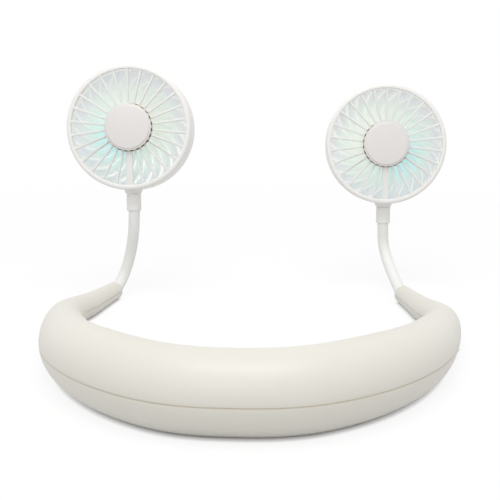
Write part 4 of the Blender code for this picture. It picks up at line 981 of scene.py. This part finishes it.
class NECKFAN_OT_caps(bpy.types.Operator):
    """Makes the twist-off caps with their notched edges"""
    bl_idname = "neckfan.caps"
    bl_label = "Caps"
    gap = 0.0003
    proud = 0.00002

    def execute(self, context):
        sizes = context.scene.neckfan_cap
        head = context.scene.neckfan_head
        web = head.face - head.spoke_recess
        top = web + sizes.height
        shoulder = top - sizes.step
        for side in SIDES:
            cap = self.cap(f"cap_{side}", sizes, head, top, shoulder)
            cap.data.transform(head_place(side))
            mount(cap, f"{side}_cap", "head_white", MATERIALS["cap_white"], f"aroma_cap_{side}")
            # a ring painted dark and tan behind the notches and round the cap's foot, as painted shade in the gaps
            floor = self.painted_notch_shade(side, sizes, shoulder, web + self.proud)
            mount(floor, f"{side}_cap", "head_white", MATERIALS["notch_dark"])
        return {"FINISHED"}

    def cap(self, name, sizes, head, top, shoulder):
        """The cap with its skirt, cut by a block for each notch."""
        wall, skirt_length, block = 0.0014, 0.0018, 0.002
        low = head.face + self.gap
        skirt = head.cup - self.gap
        foot = low - skirt_length
        profile = rounded([
            (0.0, top + self.proud, 0.0), (sizes.face_radius, top, 0.0006),
            (sizes.face_radius, shoulder, 0.0001), (sizes.radius, shoulder, 0.0003),
            (sizes.radius, low, 0.0002), (skirt, low, 0.0), (skirt, foot, 0.0003),
            (skirt - wall, foot, 0.0), (skirt - wall, top - wall, 0.0), (0.0, top - wall, 0.0)])
        bm = bmesh.new()
        spin_into(bm, profile, 156)
        cap = finish_mesh(name, bm)
        tools = bmesh.new()
        size = Matrix.Diagonal((block, sizes.notch_width, 2 * (shoulder - sizes.ledge - low),
                                1.0))
        shift = Matrix.Translation((sizes.radius - sizes.notch_depth + block / 2, 0.0, low))
        for i in range(sizes.notches):
            turn = Matrix.Rotation(2 * math.pi * (i + 0.5) / sizes.notches, 4, "Z")
            bmesh.ops.create_cube(tools, size=1.0, matrix=turn @ shift @ size)
        cut(cap, finish_mesh("notches", tools))
        return cap

    def painted_notch_shade(self, side, sizes, shoulder, floor):
        """The ring behind the notches, with a thin foot round the cap, painted dark at each notch and tan between
        them as painted shade.
        """
        thick, width = 0.0001, 0.0008
        flush = sizes.radius - sizes.sunk
        back = flush - width
        bm = bmesh.new()
        shade_marks = bm.loops.layers.uv.new("notches")
        spin_into(bm, [(back, shoulder - thick), (flush, shoulder - thick),
                       (flush, floor + thick), (sizes.foot, floor + thick),
                       (sizes.foot, floor), (back, floor)], 16 * sizes.notches, True)
        bm.normal_update()
        for face in bm.faces:
            for loop in face.loops:
                bearing = math.atan2(loop.vert.co.y, loop.vert.co.x)
                phase = (bearing / (2 * math.pi) * sizes.notches) % 1.0
                shown = 1.0
                # on faces that look up or down, the painted shade fades out away from its bearing
                if abs(face.normal.z) > 0.5:
                    off = math.cos(bearing - NOTCH_SHADE_BEARINGS[side])
                    shown = clamp((off - NOTCH_SHADE_FADE_START) / NOTCH_SHADE_FADE_WIDTH)
                loop[shade_marks].uv = (abs(2 * phase - 1.0), shown)
        return finish_mesh(f"cap_notch_floor_{side}", bm, head_place(side))


class NECKFAN_OT_blades(bpy.types.Operator):
    """Makes the impellers with their pitched, cambered blades"""
    bl_idname = "neckfan.blades"
    bl_label = "Impellers"

    def execute(self, context):
        sizes = context.scene.neckfan_blade
        for side in SIDES:
            bm = bmesh.new()
            span = bm.loops.layers.uv.new("span")
            rim = bm.loops.layers.uv.new("rim")
            self.hub(bm, sizes)
            for i in range(sizes.blades):
                self.blade(bm, sizes, 2 * math.pi * i / sizes.blades)
            for face in bm.faces:
                for loop in face.loops:
                    x, y, _ = loop.vert.co
                    part = (math.hypot(x, y) - sizes.hub) / (sizes.radius - sizes.hub)
                    # the cyan patch is painted light, strongest at its bearing
                    off = 1 - math.cos(math.atan2(y, x) - CYAN_LIGHT_BEARINGS[side])
                    loop[span].uv = (part, math.exp(-CYAN_LIGHT_FALLOFF * off))
                    # the painted shade, low down on the blades, grows from 45 to 95 per cent of the way out
                    low = max(-y / math.hypot(x, y, 1e-6), 0.0) * clamp(2 * part - 0.9)
                    loop[rim].uv = (self.beside(sizes, x, y), low)
            mount(finish_mesh(f"impeller_{side}_wheel", bm, head_place(side)), f"{side}_fan",
                  "blade_mint", MATERIALS["blade_mint"], f"impeller_{side}")
        return {"FINISHED"}

    def root(self, sizes):
        """Radius at which the blades start, inside the hub."""
        return sizes.hub - 0.0010

    def section(self, sizes, part):
        """Chord and pitch of a blade at a share of its length."""
        return (sizes.root_chord + (sizes.tip_chord - sizes.root_chord) * part,
                sizes.root_pitch + (sizes.tip_pitch - sizes.root_pitch) * part)

    def beside(self, sizes, x, y):
        """How far a point lies from its blade's middle line: 0 on it, 1 at either edge."""
        root = self.root(sizes)
        radius = math.hypot(x, y)
        part = max((radius - root) / (sizes.radius - root), 0.0)
        chord, pitch = self.section(sizes, part)
        step = 2 * math.pi / sizes.blades
        off = (math.atan2(y, x) - sizes.sweep * part ** 2 + step / 2) % step - step / 2
        return abs(2 * off * radius / (chord * math.cos(pitch)))

    def hub(self, bm, sizes):
        wall = 0.0021
        low = sizes.top - sizes.height
        bore = sizes.hub - wall
        profile = rounded([(0.0, sizes.top, 0.0), (sizes.hub, sizes.top, 0.0012),
                           (sizes.hub, low, 0.0003), (bore, low, 0.0),
                           (bore, sizes.top - wall, 0.0), (0.0, sizes.top - wall, 0.0)])
        spin_into(bm, profile, 64)

    def blade(self, bm, sizes, turn):
        """A flat grid bent into a pitched and cambered blade, given its thickness."""
        root = self.root(sizes)
        middle = sizes.top - sizes.height / 2
        grid = bmesh.ops.create_grid(bm, x_segments=12, y_segments=10, size=0.5)["verts"]
        faces = list({face for vert in grid for face in vert.link_faces})
        for vert in grid:
            part = vert.co.x + 0.5
            along = vert.co.y
            radius = root + (sizes.radius - root) * part
            chord, pitch = self.section(sizes, part)
            camber = sizes.camber * chord * (1 - 4 * along ** 2)
            across = along * chord * math.cos(pitch) - camber * math.sin(pitch)
            height = along * chord * math.sin(pitch) + camber * math.cos(pitch)
            bend = turn + sizes.sweep * part ** 2 + across / radius
            vert.co = (*polar(radius, bend), middle + sizes.rise * part + height)
        bmesh.ops.solidify(bm, geom=faces, thickness=sizes.thickness)


class NECKFAN_OT_rear_shells(bpy.types.Operator):
    """Makes the rear shell of each head: wall, swept spokes, motor plate and stem boss"""
    bl_idname = "neckfan.rear_shells"
    bl_label = "Rear Shells"

    def execute(self, context):
        sizes = context.scene.neckfan_head
        inside = sizes.rear_plate - sizes.face
        middle_wall = sizes.radius - sizes.wall / 2

        def faces_in(face):
            """Whether a face of the inside looks at the fan or forwards."""
            middle = face.calc_center_median().xy
            inward = -face.normal.xy.dot(middle.normalized())
            return middle.length < middle_wall and (inward > 0.3 or face.normal.z > -0.1)

        for side in SIDES:
            bm = bmesh.new()
            lit = bm.loops.layers.uv.new("inside")
            self.wall(bm, sizes, middle_wall, inside)
            self.spokes(bm, sizes, (inside - sizes.face) / 2)
            self.motor_cup(bm, inside)
            self.boss(bm, sizes)
            bmesh.ops.recalc_face_normals(bm, faces=bm.faces)
            mark(bm, lit, faces_in)
            mount(finish_mesh(f"rear_housing_{side}", bm, head_place(side)), f"{side}_head",
                  "head_white", MATERIALS["lit_shell"], f"rear_shell_{side}")
        return {"FINISHED"}

    def wall(self, bm, sizes, middle_wall, inside):
        """The outer wall with its rim at the back and the lip that enters the cage."""
        back = -sizes.face
        bore = sizes.radius - sizes.wall
        rim = sizes.radius - sizes.rear_rim
        top = sizes.parting - sizes.gap
        lip = sizes.parting + 0.0018
        profile = rounded([
            (bore, lip, 0.0), (middle_wall, lip, 0.0), (middle_wall, top, 0.0),
            (sizes.radius, top, 0.0003), (sizes.radius, back, sizes.back_round),
            (rim, back, 0.0003), (rim, inside, 0.0003), (bore, inside, 0.002)], True)
        spin_into(bm, profile, HEAD_STEPS, True)

    def motor_cup(self, bm, inside):
        bore, wall, height, sunk = 0.0083, 0.0012, 0.0085, 0.0008
        outside = bore + wall
        top, foot = inside + height, inside - sunk
        spin_into(bm, [(bore, top), (outside, top), (outside, foot), (bore, foot)], 48, True)

    def spokes(self, bm, sizes, level):
        """A plate with swept slots, closed in the middle by a disc."""
        steps, under_rim, overlap = 8, 0.0008, 0.0005
        inner = sizes.rear_hub
        outer = sizes.radius - sizes.rear_rim + 0.0003
        pitch = 2 * math.pi / sizes.rear_spokes
        plate = inner - 0.0014
        loops = [circle(outer + under_rim, HEAD_STEPS), circle(plate, HUB_STEPS)]
        for index in range(sizes.rear_spokes):
            low, high = [], []
            for j in range(steps + 1):
                part = j / steps
                radius = inner + (outer - inner) * part
                lean = index * pitch + sizes.rear_sweep * part
                half = sizes.rear_spoke / 2 / radius
                low.append(polar(radius, lean + half))
                high.append(polar(radius, lean + pitch - half))
            loops.append(low + high[::-1])
        add_mesh(bm, flat_piece("rear_spokes", loops, sizes.rear_plate - 0.0002, 0.0003),
                 lift(level))
        low = level - sizes.rear_plate / 2 + 0.00005
        high = level + sizes.rear_plate / 2 - 0.00005
        spin_into(bm, [(0.0, high), (plate + overlap, high), (plate + overlap, low), (0.0, low)],
                  HUB_STEPS)

    def boss(self, bm, sizes):
        """The funnel over the stem, spun about the head's local Y."""
        stem = Matrix(((1, 0, 0, 0), (0, 0, -1, 0), (0, 1, 0, 0), (0, 0, 0, 1)))
        bore = 0.0032
        low = sizes.radius - 0.0012
        foot = sizes.radius - 0.0002
        top = sizes.radius + sizes.boss_length
        profile = rounded([(bore, low, 0.0), (sizes.boss, low, 0.0), (sizes.boss, foot, 0.0004),
                           (sizes.boss_end, top, 0.0002), (bore, top, 0.0)], True)
        part = bmesh.new()
        spin_into(part, profile, 64, True)
        mesh = bpy.data.meshes.new("boss")
        part.to_mesh(mesh)
        part.free()
        add_mesh(bm, mesh, stem)


class NECKFAN_OT_inner_parts(bpy.types.Operator):
    """Gives the solids that stay as they are their finished materials"""
    bl_idname = "neckfan.inner_parts"
    bl_label = "Inner Parts"

    def execute(self, context):
        slots = {part["node"]: part["material_slot"] for part in frame["record"]["subparts"]}
        for name, node in frame["nodes"].items():
            if node.name in slots and not node.hide_render:
                for place in node.material_slots:
                    place.material = MATERIALS[slots[name]]
        return {"FINISHED"}


class NECKFAN_OT_stage(bpy.types.Operator):
    """Makes the floor, the lamps, the world and the camera"""
    bl_idname = "neckfan.stage"
    bl_label = "Stage"

    def execute(self, context):
        scene = context.scene
        stage = scene.neckfan_stage
        scene.view_settings.view_transform = "Standard"
        self.floor(stage, scene.neckfan_colors.floor)
        scene.world = self.world(stage)
        self.lamp(scene, "overhead", place=(0.0, -0.10, 0.75), target=(0.0, 0.10, 0.04),
                  size=0.5, power=stage.key_level)
        self.lamp(scene, "behind_camera", place=(-0.4, -2.0, 1.5), target=(0.0, 0.12, 0.06),
                  size=1.0, power=stage.fill_level)
        self.camera(scene, stage)
        return {"FINISHED"}

    def camera(self, scene, stage):
        data = bpy.data.cameras.new("camera")
        data.sensor_width = 36.0
        data.lens = stage.focal_pixels / PHOTO_PIXELS * data.sensor_width
        data.clip_start = 0.01
        data.clip_end = 20.0
        camera = bpy.data.objects.new("camera", data)
        camera.location = stage.camera_place
        camera.rotation_euler = (math.pi / 2 - stage.camera_down, 0.0, stage.camera_left)
        scene.collection.objects.link(camera)
        scene.camera = camera

    def floor(self, stage, white):
        bm = bmesh.new()
        bmesh.ops.create_grid(bm, x_segments=1, y_segments=1, size=stage.floor_size / 2)
        floor = finish_mesh("floor", bm)
        floor.data.materials.append(self.floor_material(stage, white))

    def floor_material(self, stage, white):
        """Plain white to the eye but for the fan's shadow, and a dimmer floor to the fan."""
        material = bpy.data.materials.new("floor")
        material.use_nodes = True
        graph = Graph(material.node_tree)
        graph.nodes.remove(graph.nodes["Principled BSDF"])
        seen = self.seen(graph)
        dim = [value * stage.floor_bounce for value in white]
        diffuse = graph.add("BsdfDiffuse", {"Color": graph.mix(seen, dim, white)})
        glow = graph.add("Emission", {"Color": white})
        distance = graph.add("VectorMath", {0: graph.where()}, operation="LENGTH")["Value"]
        reach = graph.ramp(distance, stage.floor_near, stage.floor_far, stage.floor_seen)
        touch = graph.add("AmbientOcclusion", {"Distance": stage.contact})["AO"]
        shown = graph.calculate("MULTIPLY", seen, graph.calculate("MULTIPLY", reach, touch))
        mixed = graph.add("MixShader", {0: shown, 1: diffuse[0], 2: glow[0]})
        graph.put(graph.nodes["Material Output"].inputs["Surface"], mixed[0])
        return material

    def seen(self, graph):
        """1 for what the eye sees, straight, mirrored or through clear plastic."""
        path = graph.add("LightPath", {})
        value = path["Is Camera Ray"]
        for label in ("Is Glossy Ray", "Is Transmission Ray"):
            value = graph.calculate("MAXIMUM", value, path[label])
        return value

    def world(self, stage):
        world = bpy.data.worlds.new("studio")
        world.use_nodes = True
        graph = Graph(world.node_tree)
        background = graph.nodes["Background"].inputs
        level = graph.add("Mix", {"Factor": self.seen(graph), "A": stage.world_level, "B": 1.0})
        graph.put(background["Color"], WHITE)
        graph.put(background["Strength"], level["Result"])
        return world

    def lamp(self, scene, name, place, target, size, power):
        data = bpy.data.lights.new(name, "AREA")
        data.shape = "DISK"
        data.size = size
        data.energy = power
        lamp = bpy.data.objects.new(name, data)
        lamp.location = place
        aim = Vector(target) - Vector(place)
        lamp.rotation_euler = aim.to_track_quat("-Z", "Y").to_euler()
        scene.collection.objects.link(lamp)


class NECKFAN_PT_panel(bpy.types.Panel):
    """Lists the pieces of the fan"""
    bl_label = "Neckband Fan"
    bl_idname = "NECKFAN_PT_panel"
    bl_space_type = "VIEW_3D"
    bl_region_type = "UI"
    bl_category = "Neck Fan"

    def draw(self, context):
        for operator in OPERATORS:
            self.layout.operator(operator.bl_idname)


GROUPS = (("neckfan_band", NECKFAN_BandSizes), ("neckfan_controls", NECKFAN_ControlSizes),
          ("neckfan_neck", NECKFAN_NeckSizes), ("neckfan_head", NECKFAN_HeadSizes),
          ("neckfan_cap", NECKFAN_CapSizes), ("neckfan_blade", NECKFAN_BladeSizes),
          ("neckfan_colors", NECKFAN_Colors), ("neckfan_stage", NECKFAN_Stage))
OPERATORS = (NECKFAN_OT_stage, NECKFAN_OT_band, NECKFAN_OT_controls, NECKFAN_OT_gooseneck,
             NECKFAN_OT_sleeves, NECKFAN_OT_cages, NECKFAN_OT_rear_shells, NECKFAN_OT_blades,
             NECKFAN_OT_caps, NECKFAN_OT_inner_parts)


def register():
    for name, group in GROUPS:
        bpy.utils.register_class(group)
        setattr(bpy.types.Scene, name, PointerProperty(type=group))
    for operator in OPERATORS:
        bpy.utils.register_class(operator)
    bpy.utils.register_class(NECKFAN_PT_panel)


def unregister():
    bpy.utils.unregister_class(NECKFAN_PT_panel)
    for operator in reversed(OPERATORS):
        bpy.utils.unregister_class(operator)
    for name, group in reversed(GROUPS):
        delattr(bpy.types.Scene, name)
        bpy.utils.unregister_class(group)


def main():
    register()
    MATERIALS.update(make_materials(bpy.context.scene.neckfan_colors))
    for operator in OPERATORS:
        area, name = operator.bl_idname.split(".")
        getattr(getattr(bpy.ops, area), name)()


if __name__ == "__main__":
    main()
